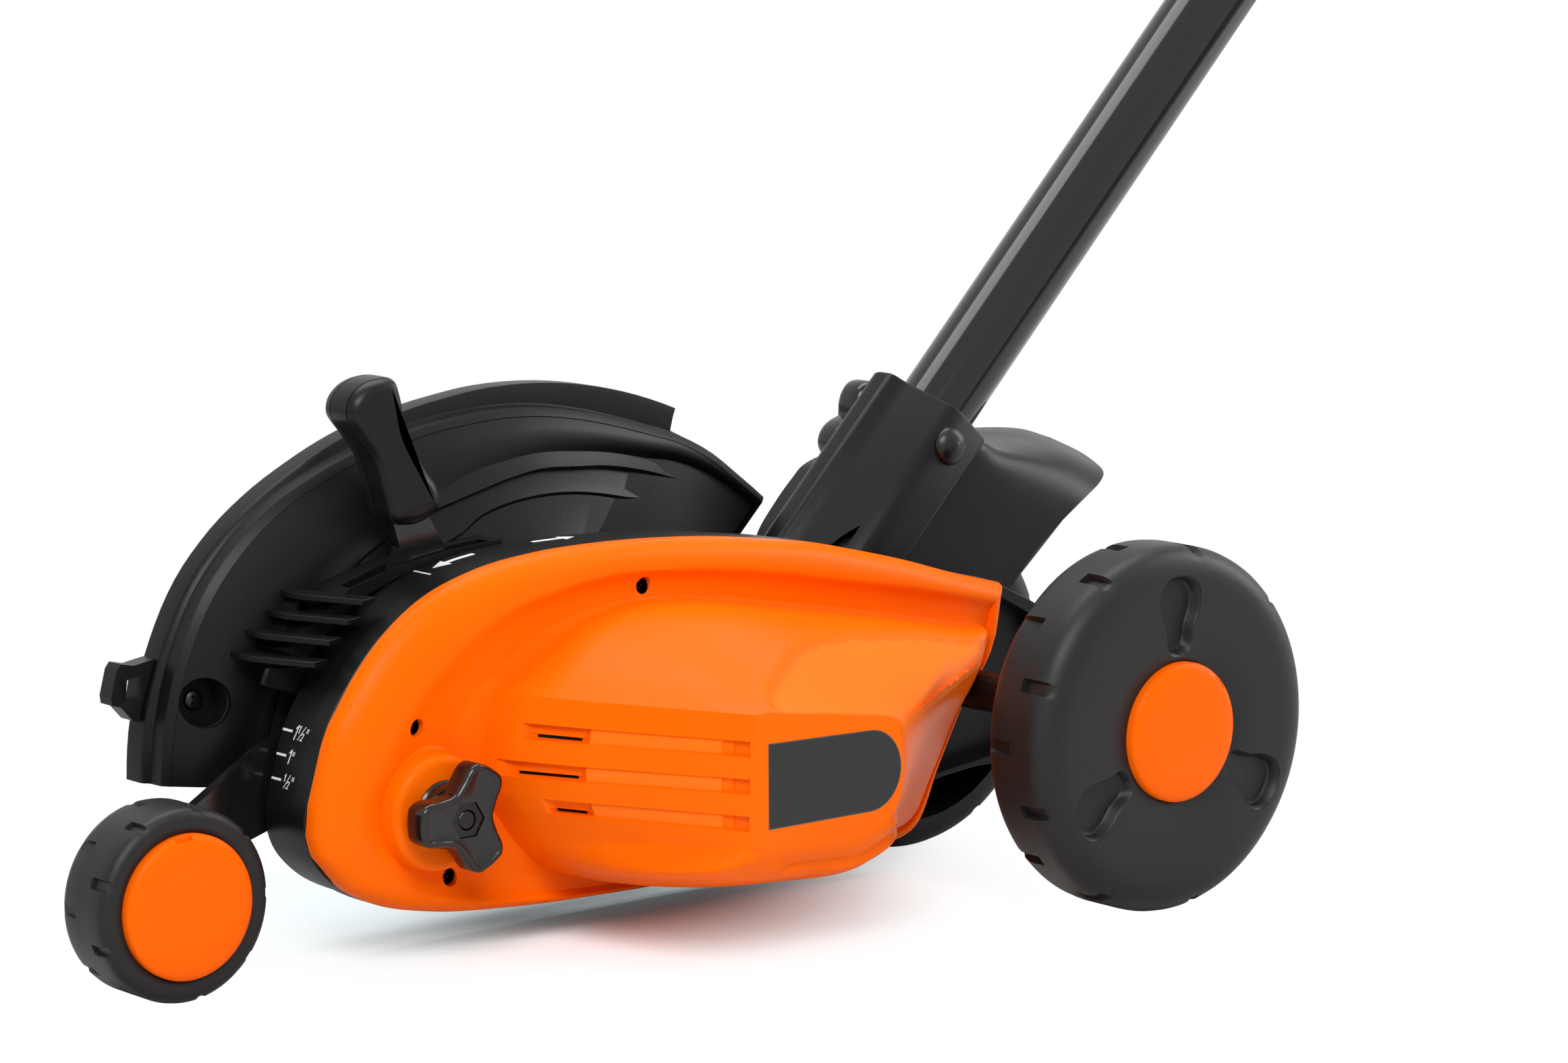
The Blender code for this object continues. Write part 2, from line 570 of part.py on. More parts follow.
guard = finish(loft([guard_ring(*row) for row in GUARD_ROWS]), "blade_guard", BLACK, sharp=25)
guard_holes = [disc((x * MM, 0, z * MM), 2.6 * MM, 170 * MM, 195 * MM, 8) for x, z in GUARD_SCREWS]
boolean(guard, joined(guard_holes), "guard_screw_holes")
guard.modifiers.new("facets", "TRIANGULATE")


# Axles and the parts on them
rear_axle = turned("rear_axle", [(0, 4.5 * MM), (AXLE_RADIUS, 4.5 * MM), (AXLE_RADIUS, FAR_FACE_Y - 4.5 * MM),
                                 (0, FAR_FACE_Y - 4.5 * MM)], rear_axle_point(), ZINC, 20)


def collar(name, centre, outer, inner, y_near, y_far, surface, count=20):
    section = [(inner, y_near), (outer, y_near), (outer, y_far), (inner, y_far)]
    return turned(name, section, centre, surface, count, True)


def nut(name, centre, corner, bore, y_near, y_far):
    loops = [circle(centre, corner, 6), circle(centre, bore, 12)]
    return finish(plate(loops, y_near, y_far), name, ZINC, Vector((centre[0], y_near, centre[2])))


nut("axle_nut_near", rear_axle_point(), 9 * MM, AXLE_RADIUS + GAP, 4.7 * MM, 9.7 * MM)
nut("axle_nut_far", rear_axle_point(), 9 * MM, AXLE_RADIUS + GAP, FAR_FACE_Y - 9.7 * MM, FAR_FACE_Y - 4.7 * MM)
collar("axle_carrier", rear_axle_point(), 8.4 * MM, AXLE_RADIUS + GAP, 40 * MM, 140.8 * MM, BLACK, 16)
BOLT_END_Y = 182 * MM
turned("front_axle_bolt", [(0, 140.5 * MM), (6.5 * MM, 140.5 * MM), (6.5 * MM, 145.4 * MM),
                           (FRONT_AXLE_RADIUS, 145.4 * MM), (FRONT_AXLE_RADIUS, BOLT_END_Y), (0, BOLT_END_Y)],
       front_axle_point(), ZINC, 16)
nut("front_axle_nut", front_axle_point(), 7.5 * MM, FRONT_AXLE_RADIUS + GAP, PLATE_Y + PLATE_THICKNESS + GAP,
    181 * MM)


# Lock knob on the pivot bolt
turned("lock_bolt", [(0, 102.5 * MM), (3.3 * MM, 102.5 * MM), (LOCK_BOLT_RADIUS, 103.2 * MM),
                     (LOCK_BOLT_RADIUS, PLATE_Y + PLATE_THICKNESS + GAP), (9 * MM, PLATE_Y + PLATE_THICKNESS + GAP),
                     (8 * MM, 176.3 * MM), (0, 176.3 * MM)], PIVOT, ZINC, 18)
KNOB_ARM = [(19.2, -7.8), (21.4, -6.2), (22, -3), (22, 3), (21.4, 6.2), (19.2, 7.8), (11.6, 9.1), (6, 10.4),
            (2.1, 14.6)]
KNOB_SKIRT_Y = 112.4 * MM
knob_loop = []
for angle in (60, 180, 300):
    turn = math.radians(angle)
    for reach, across in KNOB_ARM:
        knob_loop.append((PIVOT.x + (reach * math.cos(turn) - across * math.sin(turn)) * MM,
                          PIVOT.z + (reach * math.sin(turn) + across * math.cos(turn)) * MM))
knob = finish(plate([knob_loop], KNOB_FACE_Y, KNOB_SKIRT_Y, 1.4 * MM), "lock_knob", BLACK,
              PIVOT + Vector((0, KNOB_FACE_Y, 0)))
boolean(knob, disc(PIVOT, 15.5 * MM, KNOB_SKIRT_Y - 2 * MM, KNOB_FACE_Y + 16.2 * MM), "knob_skirt", "UNION")
boolean(knob, plate([circle(PIVOT, LOCK_BOLT_RADIUS + LOCK_BOLT_PLAY, 18)], 90 * MM, 130 * MM), "knob_bore")
boolean(knob, plate([circle(PIVOT, 7.8 * MM, 6)], 90 * MM, KNOB_FACE_Y + 8.3 * MM), "nut_pocket")
boolean(knob, disc(PIVOT, 8.6 * MM, 90 * MM, KNOB_FACE_Y + 1.2 * MM, 16), "knob_dish")
nut("lock_nut", PIVOT, 7.5 * MM, LOCK_BOLT_RADIUS + 2 * LOCK_BOLT_PLAY, KNOB_FACE_Y + 1.5 * MM, KNOB_FACE_Y + 8 * MM)


# Motor and drive
def gear_loop(centre, teeth, phase):
    pitch = GEAR_MODULE * teeth / 2
    outer = pitch + 0.9 * GEAR_MODULE
    root = pitch - 1.2 * GEAR_MODULE
    points = []
    for tooth in range(teeth):
        middle = 2 * math.pi * (tooth + phase) / teeth
        flank = 2 * math.pi / teeth
        for share, radius in ((-0.31, root), (-0.12, outer), (0.12, outer), (0.31, root)):
            angle = middle + share * flank
            points.append((centre[0] + radius * math.cos(angle), centre[2] + radius * math.sin(angle)))
    return points


GEAR_Y = 143.4 * MM
spindle_phase = MOTOR_ANGLE / (2 * math.pi / GEAR_TEETH)
pinion_phase = (MOTOR_ANGLE + math.pi) / (2 * math.pi / PINION_TEETH) + 0.5
SPINDLE_RADIUS = 7.5 * MM
SHAFT_RADIUS = 4 * MM
finish(plate([gear_loop(SPINDLE, GEAR_TEETH, spindle_phase), circle(SPINDLE, SPINDLE_RADIUS + GAP, 20)],
             GEAR_Y, GEAR_Y + GEAR_WIDTH), "spindle_gear", STEEL, SPINDLE + Vector((0, GEAR_Y, 0)))
finish(plate([gear_loop(MOTOR, PINION_TEETH, pinion_phase), circle(MOTOR, SHAFT_RADIUS + GAP, 16)],
             GEAR_Y, GEAR_Y + GEAR_WIDTH), "motor_pinion", STEEL, MOTOR + Vector((0, GEAR_Y, 0)))
turned("blade_spindle", [(0, 143 * MM), (SPINDLE_RADIUS, 143 * MM), (SPINDLE_RADIUS, 209.5 * MM),
                         (6 * MM, 211 * MM), (0, 211 * MM)], SPINDLE, STEEL, 20)
BEARING_PLAY = 0.15 * MM
for number, y in enumerate((156.3, 162.2), 1):
    collar(f"spindle_bearing_{number}", SPINDLE, 15 * MM, SPINDLE_RADIUS + BEARING_PLAY, y * MM, (y + 5.5) * MM,
           STEEL)
collar("blade_flange", SPINDLE, 17 * MM, SPINDLE_RADIUS + GAP, 177.4 * MM, BLADE_Y - GAP, STEEL)
half_blade, half_width = BLADE_DIAMETER / 2, BLADE_WIDTH / 2
blade_outline = [(-half_blade + 6 * MM, half_width), (half_blade - 1 * MM, half_width), (half_blade, 8 * MM),
                 (half_blade - 2 * MM, -4 * MM), (half_blade - 6 * MM, -half_width),
                 (-half_blade + 1 * MM, -half_width), (-half_blade, -8 * MM), (-half_blade + 2 * MM, 4 * MM)]
blade_loop = [(SPINDLE.x + x, SPINDLE.z + z) for x, z in blade_outline]
finish(plate([blade_loop, circle(SPINDLE, SPINDLE_RADIUS + GAP, 20)], BLADE_Y, BLADE_Y + BLADE_THICKNESS),
       "blade", STEEL, SPINDLE + Vector((0, BLADE_Y, 0)))
nut("blade_nut", SPINDLE, 12 * MM, SPINDLE_RADIUS + GAP, BLADE_Y + BLADE_THICKNESS + GAP, 208.5 * MM)

PLATE_NEAR_Y = 139.6 * MM
plate_outline = [tuple(p) for p in inset_loop(HOUSING, 4.3 * MM)[::2] if p[0] < -76 * MM]
motor_plate = finish(plate([plate_outline, circle(PIVOT, 10 * MM, 24)], PLATE_NEAR_Y, 142.4 * MM),
                     "motor_plate", STEEL)
boolean(motor_plate, disc(MOTOR, 14.5 * MM, 132 * MM, 142 * MM), "bearing_boss", "UNION")
boolean(motor_plate, disc(MOTOR, 11.3 * MM, 125 * MM, 150 * MM), "bearing_bore")
boolean(motor_plate, disc((-115 * MM, 0, 75 * MM), 16 * MM, 130 * MM, 150 * MM, 16), "wire_window")
posts = []
for side in (-1, 1):
    post = MOTOR + Vector((0, 0, side * 29 * MM))
    posts.append(rod((post.x, 106.3 * MM, post.z), (post.x, 141 * MM, post.z), 3.5 * MM, 10))
boolean(motor_plate, joined(posts), "motor_posts", "UNION")
for x, z in ((-250, 105), (-130, 130), (-230, 40)):
    point = (x * MM, 0, z * MM)
    closed_boolean(housing, disc(point, 6 * MM, 142.7 * MM, 166 * MM, 10), f"plate_post_{-x}", "UNION")
collar("motor_bearing_far", MOTOR, 11 * MM, SHAFT_RADIUS + 0.05 * MM, 133 * MM, 140 * MM, STEEL)
collar("motor_bearing_near", MOTOR, 11 * MM, SHAFT_RADIUS + 0.05 * MM, 37 * MM, 44 * MM, STEEL)
turned("armature_shaft", [(0, 36 * MM), (SHAFT_RADIUS, 36 * MM), (SHAFT_RADIUS, 154 * MM), (0, 154 * MM)], MOTOR,
       STEEL, 20)
collar("stator", MOTOR, 34 * MM, 23.5 * MM, 64 * MM, 106 * MM, IRON, 28)
core_loop = []
for slot in range(12):
    for share, radius in ((-0.4, 22.5), (0.0, 22.7), (0.4, 22.5), (0.42, 15), (0.58, 15)):
        angle = 2 * math.pi * (slot + share) / 12
        core_loop.append((MOTOR.x + radius * MM * math.cos(angle), MOTOR.z + radius * MM * math.sin(angle)))
finish(plate([core_loop, circle(MOTOR, SHAFT_RADIUS + GAP, 16)], 66 * MM, 104 * MM), "armature_core", IRON,
       MOTOR + Vector((0, 66 * MM, 0)))
collar("commutator", MOTOR, 11 * MM, SHAFT_RADIUS + GAP, 51 * MM, 62 * MM, COPPER)
fan_loop = []
for vane in range(8):
    for share, radius in ((0.0, 24), (0.22, 25), (0.3, 12), (0.8, 12)):
        angle = 2 * math.pi * (vane + share) / 8
        fan_loop.append((MOTOR.x + radius * MM * math.cos(angle), MOTOR.z + radius * MM * math.sin(angle)))
finish(plate([fan_loop, circle(MOTOR, SHAFT_RADIUS + GAP, 16)], 112 * MM, 124 * MM), "cooling_fan", BLACK,
             MOTOR + Vector((0, 112 * MM, 0)))
bracket = finish(ring(MOTOR, 14.5 * MM, 11.3 * MM, 36.5 * MM, 48 * MM), "end_bracket", BLACK)
arms = []
for side in (-1, 1):
    arms.append(box(MOTOR + Vector((-5 * MM, 45 * MM, min(13 * side, 29 * side) * MM)),
                    MOTOR + Vector((5 * MM, 50 * MM, max(13 * side, 29 * side) * MM))))
    arms.append(box(MOTOR + Vector((-5 * MM, 45.7 * MM, min(24.5 * side, 29 * side) * MM)),
                    MOTOR + Vector((5 * MM, 63.7 * MM, max(24.5 * side, 29 * side) * MM))))
boolean(bracket, joined(arms[:1] + arms[2:3]), "bracket_arms", "UNION")
boolean(bracket, joined([arms[1], arms[3]]), "bracket_legs", "UNION")
for name, side in (("brush_holder_upper", 1), ("brush_holder_lower", -1)):
    low, high = sorted((11.4 * side, 24.2 * side))
    finish(box(MOTOR + Vector((-4 * MM, 50.3 * MM, low * MM)), MOTOR + Vector((4 * MM, 60 * MM, high * MM))),
           name, COPPER)


# Handle socket with its bolt and knob
SOCKET_SECTION = [(-13.4, -24), (7.6, -24), (23, -1), (28, 3), (28, 13), (18, 24), (-13.4, 24), (-22, 14),
                  (-24, 0), (-22, -14)]


def socket_body(grow=0.0):
    rows = []
    for end in (0, 1):
        row = []
        for front, across in SOCKET_SECTION:
            station = SOCKET_TOP + grow if end else SOCKET_FOOT - 0.714 * (front + 13.4) * MM
            reach = 1 + grow / (24 * MM)
            row.append(tube_point(station, front * reach * MM, across * reach * MM))
        rows.append(row)
    return loft(rows)


socket = finish(socket_body(), "tube_socket", BLACK)
boolean(socket, rod(tube_point(TUBE_START - 1 * MM), tube_point(20 * MM), TUBE_RADIUS + GAP, 26), "tube_bore")
under = [tuple(p) for p in inset_loop(HOUSING, -GAP)]
boolean(socket, plate([under], 120 * MM, 240 * MM), "housing_seat")
boolean(socket, disc((0, 0, REAR_RADIUS), WHEEL_CLEARANCE, REAR_WALL_Y + 0.1 * MM, 230 * MM, 28), "wheel_room")
bolt_line = tube_point(SOCKET_BOLT)
SOCKET_BOLT_END_Y = 213.4 * MM
boolean(socket, disc(bolt_line, 3.3 * MM, 140 * MM, 210 * MM, 20), "socket_bolt_hole")
turned("socket_bolt", [(0, 146.6 * MM), (4 * MM, 147 * MM), (7.4 * MM, 148.6 * MM), (8.2 * MM, 149.7 * MM),
                       (3 * MM, 149.7 * MM), (3 * MM, SOCKET_BOLT_END_Y), (0, SOCKET_BOLT_END_Y)], bolt_line, ZINC, 18)
wing_loop = []
for step in range(40):
    turn = 2 * math.pi * step / 40
    reach = 14.5 + 9 * abs(math.cos(2 * turn)) ** 1.4
    wing_loop.append((bolt_line.x + reach * MM * math.cos(turn + 0.14),
                      bolt_line.z + reach * MM * math.sin(turn + 0.14)))
wing = finish(plate([wing_loop, circle(bolt_line, 3.06 * MM, 18)], 198.4 * MM, 212 * MM), "socket_knob", BLACK,
              Vector((bolt_line.x, 198.4 * MM, bolt_line.z)))


# Debris flap over the far wheel
FLAP_ROWS = [
    [(-24, 154, 126), (-6, 154, 121), (12, 154, 115), (26, 154, 111), (37, 154, 109), (46.9, 154, 108.1)],
    [(-8, 154.3, 141), (8, 154.4, 139), (24, 154.5, 136), (38, 154.7, 131), (51, 155, 127.5), (63.9, 155, 124)],
    [(8, 155, 157), (22, 155, 156), (38, 155.5, 153), (54, 156, 148.5), (70, 156.5, 142.8), (84.8, 157, 137.3)],
    [(24, 156, 171), (34, 157, 172.5), (45, 158, 165.5), (63, 159.5, 160), (82, 160, 152.5), (99, 160, 143.9)],
    [(31, 164, 171), (42, 166, 170), (58, 167, 167), (76, 167.5, 163), (95, 167, 157), (112, 166, 147.7)],
    [(36, 178, 168.5), (46, 180, 168.5), (62, 181, 168), (82, 180, 165.5), (103, 178, 160.5), (122.6, 175, 150.5)],
    [(36, 199, 166.5), (47, 199, 167), (64, 200, 168), (86, 200, 167), (109, 196, 163.5), (128.7, 188, 153.3)],
    [(36, 214.5, 167), (48, 214.5, 167.5), (66, 214.5, 168.5), (89, 213, 168), (113, 210, 165), (128.9, 199, 157)],
    [(36, 226, 166), (48, 227, 167), (70, 227, 168), (95.2, 226, 167.5), (113.7, 220, 165.9), (123, 210, 162)]]
FLAP_FRONT = [(10, 166), (-6.7, 162.2), (-14.7, 156.2), (-23.8, 147.2), (-34, 134.8), (-38, 122)]
flap_mesh = bpy.data.meshes.new("debris_flap")
flap_points = [tuple(value * MM for value in point) for row in FLAP_ROWS for point in row]
columns = len(FLAP_ROWS[0])
flap_faces = []
for row in range(len(FLAP_ROWS) - 1):
    for step in range(columns - 1):
        first = row * columns + step
        flap_faces.append((first, first + 1, first + columns + 1, first + columns))
edge = (columns * (len(FLAP_ROWS) - 2), columns * (len(FLAP_ROWS) - 1))
for x, z in FLAP_FRONT:
    first = len(flap_points)
    flap_points += [(x * MM, 214.5 * MM, z * MM), (x * MM, 226 * MM, (z - 1) * MM)]
    flap_faces.append((first, edge[0], edge[1], first + 1))
    edge = (first, first + 1)
flap_mesh.from_pydata(flap_points, [], flap_faces)
flap = finish(flap_mesh, "debris_flap", BLACK, sharp=60)
skin = flap.modifiers.new("skin", "SOLIDIFY")
skin.thickness = 2.4 * MM
skin.offset = -1
boolean(flap, plate([under], 120 * MM, REAR_WALL_Y + GAP), "flap_seat")
boolean(flap, socket_body(0.5 * MM), "flap_socket_seat")


# Handle tubes
def pipe(name, start, end, outer, inner, surface, count=22):
    section = [(inner, start), (outer, start), (outer, end), (inner, end)]
    mesh = bpy.data.meshes.new(name)
    mesh.from_pydata([(r, s, 0) for r, s in reversed(section)], [(0, 1), (1, 2), (2, 3), (3, 0)], [])
    part = bpy.data.objects.new(name, mesh)
    part.location = TUBE_POINT
    part.rotation_euler = (0, 0, 0)
    part.rotation_mode = "QUATERNION"
    part.rotation_quaternion = TUBE_DIRECTION.to_track_quat("Y", "Z")
    part.parent = ROOT
    mesh.materials.append(surface)
    turn = part.modifiers.new("turned", "SCREW")
    turn.axis = "Y"
    turn.steps = turn.render_steps = count
    turn.use_merge_vertices = True
    turn.merge_threshold = 0.00001
    PARTS.objects.link(part)
    return part


pipe("lower_tube", TUBE_START, TUBE_JOINT, TUBE_RADIUS, TUBE_RADIUS - 1.5 * MM, PAINTED)
boolean(bpy.data.objects["lower_tube"], disc(bolt_line, 3.3 * MM, 140 * MM, 210 * MM, 20), "tube_bolt_hole")
pipe("upper_tube", TUBE_JOINT + GAP, TUBE_END, TUBE_RADIUS, TUBE_RADIUS - 1.5 * MM, PAINTED)
pipe("tube_sleeve", TUBE_JOINT - 32 * MM, TUBE_JOINT + 32 * MM, TUBE_RADIUS + 3.5 * MM, TUBE_RADIUS + GAP, BLACK)


# Upper handle: two shells round the tube's end, with the switch between them
HANDLE_HALF = 20.5 * MM
SEAM = 0.15 * MM
HANDLE_OUTLINE = [
    (872, -21), (872, 21), (905, 24), (930, 40), (958, 61), (1005, 71), (1048, 60), (1070, 34), (1078, -8),
    (1074, -48), (1062, -60), (1042, -62), (1024, -48), (1000, -28), (960, -23)]
HAND_HOLE = [(943, 18), (958, 34), (980, 45), (1006, 49), (1032, 42), (1048, 24), (1052, 2), (1044, -12), (1020, -6),
             (985, 4), (955, 8)]
SWITCH_ROOM = [(966, 40), (966, 59), (1036, 62), (1036, 50), (1010, 46), (1010, 40)]
BUTTON_ROOM = [(984, 58), (984, 80), (998, 80), (998, 58)]
INLET_ROOM = [(1052, -57), (1052, -36), (1090, -36), (1090, -57)]


def handle_loop(points):
    """Stations along the tube and distances to its front, as x and z in the tube's plane."""
    loop = [tube_point(station * MM, front * MM) for station, front in points]
    return [(point.x, point.z) for point in loop]


for name, side in (("handle_shell_near", -1), ("handle_shell_far", 1)):
    low, high = sorted((TUBE_Y + side * SEAM, TUBE_Y + side * HANDLE_HALF))
    shell = finish(plate([handle_loop(HANDLE_OUTLINE), handle_loop(HAND_HOLE)], low, high, 3 * MM), name, BLACK)
    boolean(shell, rod(tube_point(860 * MM), tube_point(TUBE_END + GAP), TUBE_RADIUS + GAP, 24), f"{name}_bore")
    room_low, room_high = sorted((TUBE_Y - side * 5 * MM, TUBE_Y + side * 9 * MM))
    boolean(shell, plate([handle_loop(SWITCH_ROOM)], room_low, room_high), f"{name}_switch_room")
    boolean(shell, plate([handle_loop(BUTTON_ROOM)], room_low, room_high), f"{name}_button_room")
    boolean(shell, plate([handle_loop(INLET_ROOM)], TUBE_Y - 11 * MM, TUBE_Y + 11 * MM), f"{name}_inlet_room")

TRIGGER = [(970.5, 55.5), (969, 50), (974, 40), (984, 33), (996, 33), (1006, 40), (1008.5, 51), (1000, 54.5),
           (985, 56)]
TRIGGER_PIN = tube_point(974 * MM, 52 * MM)
trigger = finish(plate([handle_loop(TRIGGER), circle(TRIGGER_PIN, 2.06 * MM, 16)], TUBE_Y - 7.5 * MM,
                       TUBE_Y + 7.5 * MM), "trigger", ORANGE, TRIGGER_PIN)
turned("trigger_pin", [(0, TUBE_Y - 8.7 * MM), (2 * MM, TUBE_Y - 8.7 * MM), (2 * MM, TUBE_Y + 8.7 * MM),
                       (0, TUBE_Y + 8.7 * MM)], TRIGGER_PIN, STEEL, 16)

switch_low, switch_high = TUBE_Y - 8.7 * MM, TUBE_Y + 8.7 * MM
finish(plate([handle_loop([(1010.5, 50.5), (1010.5, 60), (1034, 61.3), (1034, 53.5)])], switch_low, switch_high),
       "switch_module", BLACK)
button_point = tube_point(991 * MM, 60 * MM)
finish(plate([handle_loop([(984.5, 62.6), (984.5, 73), (988, 75.5), (994, 75.8), (997.5, 73.5), (997.5, 62.6)])],
             TUBE_Y - 8.6 * MM, TUBE_Y + 8.6 * MM), "lock_off_button", ORANGE, button_point)
pins = [rod(tube_point(1056 * MM, -46.5 * MM, across * MM), tube_point(1073 * MM, -46.5 * MM, across * MM),
            1.9 * MM, 12) for across in (-6, 6)]
inlet = finish(plate([handle_loop([(1052.4, -56.6), (1052.4, -36.4), (1057, -36.4), (1057, -56.6)])],
                     TUBE_Y - 10.6 * MM, TUBE_Y + 10.6 * MM), "power_inlet", BLACK)
boolean(inlet, joined(pins), "inlet_pins", "UNION")

# Auxiliary handle on its clamp
AUX_HALF = 18 * MM
pipe("aux_clamp_ring", AUX_STATION - AUX_HALF, AUX_STATION + AUX_HALF, TUBE_RADIUS + 5 * MM, TUBE_RADIUS + GAP,
     BLACK, 20)
clamp = bpy.data.objects["aux_clamp_ring"]
AUX_FRONT = 33 * MM
aux_axis = tube_point(AUX_STATION, AUX_FRONT)
ear = plate([[(aux_axis.x + a * MM, aux_axis.z + b * MM) for a, b in
              [(point[0], point[1]) for point in circle((0, 0, 0), 12, 16)]]], TUBE_Y - 11 * MM, TUBE_Y + 11 * MM)
neck_loop = handle_loop([(626, 19), (654, 19), (651.8, 33), (628.2, 33)])
closed_boolean(clamp, ear, "clamp_ear", "UNION")
closed_boolean(clamp, plate([neck_loop], TUBE_Y - 11 * MM, TUBE_Y + 11 * MM), "clamp_neck", "UNION")
closed_boolean(clamp, disc(aux_axis, 3.3 * MM, TUBE_Y - 30 * MM, TUBE_Y + 30 * MM, 16), "clamp_hole")

AUX_PATH = [(-17.5, -7), (-17.5, 21), (-29, 42), (-46, 62), (-58, 92), (-52, 112), (-30, 120), (0, 122)]


def aux_point(across, reach):
    """Across the machine, and away from the clamp's axis along the handle's own plane."""
    lean = math.radians(98)
    along = Vector((math.cos(lean), 0, math.sin(lean)))
    return aux_axis + along * (reach * MM) + Vector((0, across * MM, 0))


def aux_bow():
    route = [aux_point(across, reach) for across, reach in AUX_PATH]
    route += [aux_point(-across, reach) for across, reach in reversed(AUX_PATH[:-1])]
    radii = [5.8, 5.8, 9, 11, 13, 14, 14, 14.5, 14, 14, 13, 11, 9, 5.8, 5.8]
    rings = []
    side = aux_point(0, 1) - aux_point(0, 0)
    normal = side.cross(Vector((0, 1, 0))).normalized()
    for index, point in enumerate(route):
        before, after = route[max(index - 1, 0)], route[min(index + 1, len(route) - 1)]
        tangent = (after - before).normalized()
        width = tangent.cross(normal).normalized()
        radius = radii[index] * MM
        rings.append([point + width * radius * math.cos(a) + normal * radius * math.sin(a)
                      for a in (2 * math.pi * step / 8 for step in range(8))])
    return loft(rings)


aux_handle = finish(aux_bow(), "aux_handle", RUBBER, aux_axis)
for side, name in ((-1, "near"), (1, "far")):
    low, high = sorted((TUBE_Y + side * 11.4 * MM, TUBE_Y + side * 24.3 * MM))
    closed_boolean(aux_handle, disc(aux_axis, 12 * MM, low, high, 16), f"aux_eye_{name}", "UNION")
closed_boolean(aux_handle, disc(aux_axis, 3.4 * MM, TUBE_Y - 40 * MM, TUBE_Y + 40 * MM, 16), "aux_hole")
low_room, high_room = TUBE_Y - 11.3 * MM, TUBE_Y + 11.3 * MM
closed_boolean(aux_handle, disc(aux_axis, 13 * MM, low_room, high_room, 18), "aux_clamp_room")
turned("aux_bolt", [(0, TUBE_Y - 28.4 * MM), (6 * MM, TUBE_Y - 28.4 * MM), (6 * MM, TUBE_Y - 24.6 * MM),
                    (3 * MM, TUBE_Y - 24.6 * MM), (3 * MM, TUBE_Y + 44 * MM), (0, TUBE_Y + 44 * MM)], aux_axis,
       ZINC, 20)
aux_knob_loop = []
for step in range(32):
    turn = 2 * math.pi * step / 32
    reach = 15 - 2.5 * max(0.0, math.cos(6 * turn))
    aux_knob_loop.append((aux_axis.x + reach * MM * math.cos(turn), aux_axis.z + reach * MM * math.sin(turn)))
finish(plate([aux_knob_loop, circle(aux_axis, 3.06 * MM, 20)], TUBE_Y + 24.6 * MM, TUBE_Y + 42 * MM), "aux_knob",
       BLACK, aux_axis + Vector((0, 24.6 * MM, 0)))


# The finished machine stands with the middle of its footprint at the origin
bpy.context.view_layer.update()
depsgraph = bpy.context.evaluated_depsgraph_get()
corners = []
for part in PARTS.objects:
    if part.type == "MESH":
        evaluated = part.evaluated_get(depsgraph)
        corners += [evaluated.matrix_world @ vertex.co for vertex in evaluated.data.vertices]
lows = [min(point[axis] for point in corners) for axis in range(3)]
highs = [max(point[axis] for point in corners) for axis in range(3)]
ROOT.location = (-(lows[0] + highs[0]) / 2, -(lows[1] + highs[1]) / 2, -lows[2])
bpy.context.view_layer.update()
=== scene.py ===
"""Electric lawn edger: every visible piece with its finish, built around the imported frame."""
import json
import math

import bmesh
import bpy
import numpy as np
from mathutils import Matrix, Vector


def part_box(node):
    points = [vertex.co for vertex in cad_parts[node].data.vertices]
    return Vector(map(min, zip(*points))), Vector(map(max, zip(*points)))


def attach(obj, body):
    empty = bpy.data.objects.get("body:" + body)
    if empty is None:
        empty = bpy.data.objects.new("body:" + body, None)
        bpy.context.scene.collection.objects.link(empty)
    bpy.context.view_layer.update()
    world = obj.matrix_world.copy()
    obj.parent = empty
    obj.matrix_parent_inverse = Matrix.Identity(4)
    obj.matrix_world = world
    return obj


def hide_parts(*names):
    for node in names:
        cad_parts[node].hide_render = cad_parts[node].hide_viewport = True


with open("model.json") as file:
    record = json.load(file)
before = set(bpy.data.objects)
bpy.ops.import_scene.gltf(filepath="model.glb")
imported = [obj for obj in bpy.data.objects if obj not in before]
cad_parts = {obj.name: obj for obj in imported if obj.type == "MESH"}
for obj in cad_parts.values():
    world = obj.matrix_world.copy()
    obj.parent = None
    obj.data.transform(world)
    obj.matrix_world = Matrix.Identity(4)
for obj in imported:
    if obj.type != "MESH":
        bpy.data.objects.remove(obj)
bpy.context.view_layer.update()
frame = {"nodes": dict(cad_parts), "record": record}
nodes = frame["nodes"]
MM = 0.001

# The machine's own corner in the frame: x runs to the rear from the rear axle, y away from the near
# wheel's outer face, z up from the floor, all in millimetres below
axle_low, axle_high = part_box("rear_axle")
wheel_low, wheel_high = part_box("rear_wheel_near")
STAND = Vector(((axle_low.x + axle_high.x) / 2, wheel_low.y, 0))
REAR_RADIUS = wheel_high.z / MM / 2
AXLE = (0, REAR_RADIUS)


def at(x, y, z):
    return STAND + Vector((x, y, z)) * MM


# Gear housing
# A black moulding in two steps: the rim that the orange cover screws onto, and the drum behind it that
# carries the depth scale. It is hollow for the gears, and its rear is scooped out round the far wheel.
def add_node(tree, kind, **inputs):
    """A new shader node with some inputs set; to_min stands for the input To Min."""
    node = tree.nodes.new("ShaderNode" + kind)
    for name, value in inputs.items():
        node.inputs[name.replace("_", " ").title()].default_value = value
    return node


def join(tree, *links):
    """Links in a tree, each from a node's output to a node's input."""
    for source, output, target, entry in links:
        tree.links.new(source.outputs[output], target.inputs[entry])


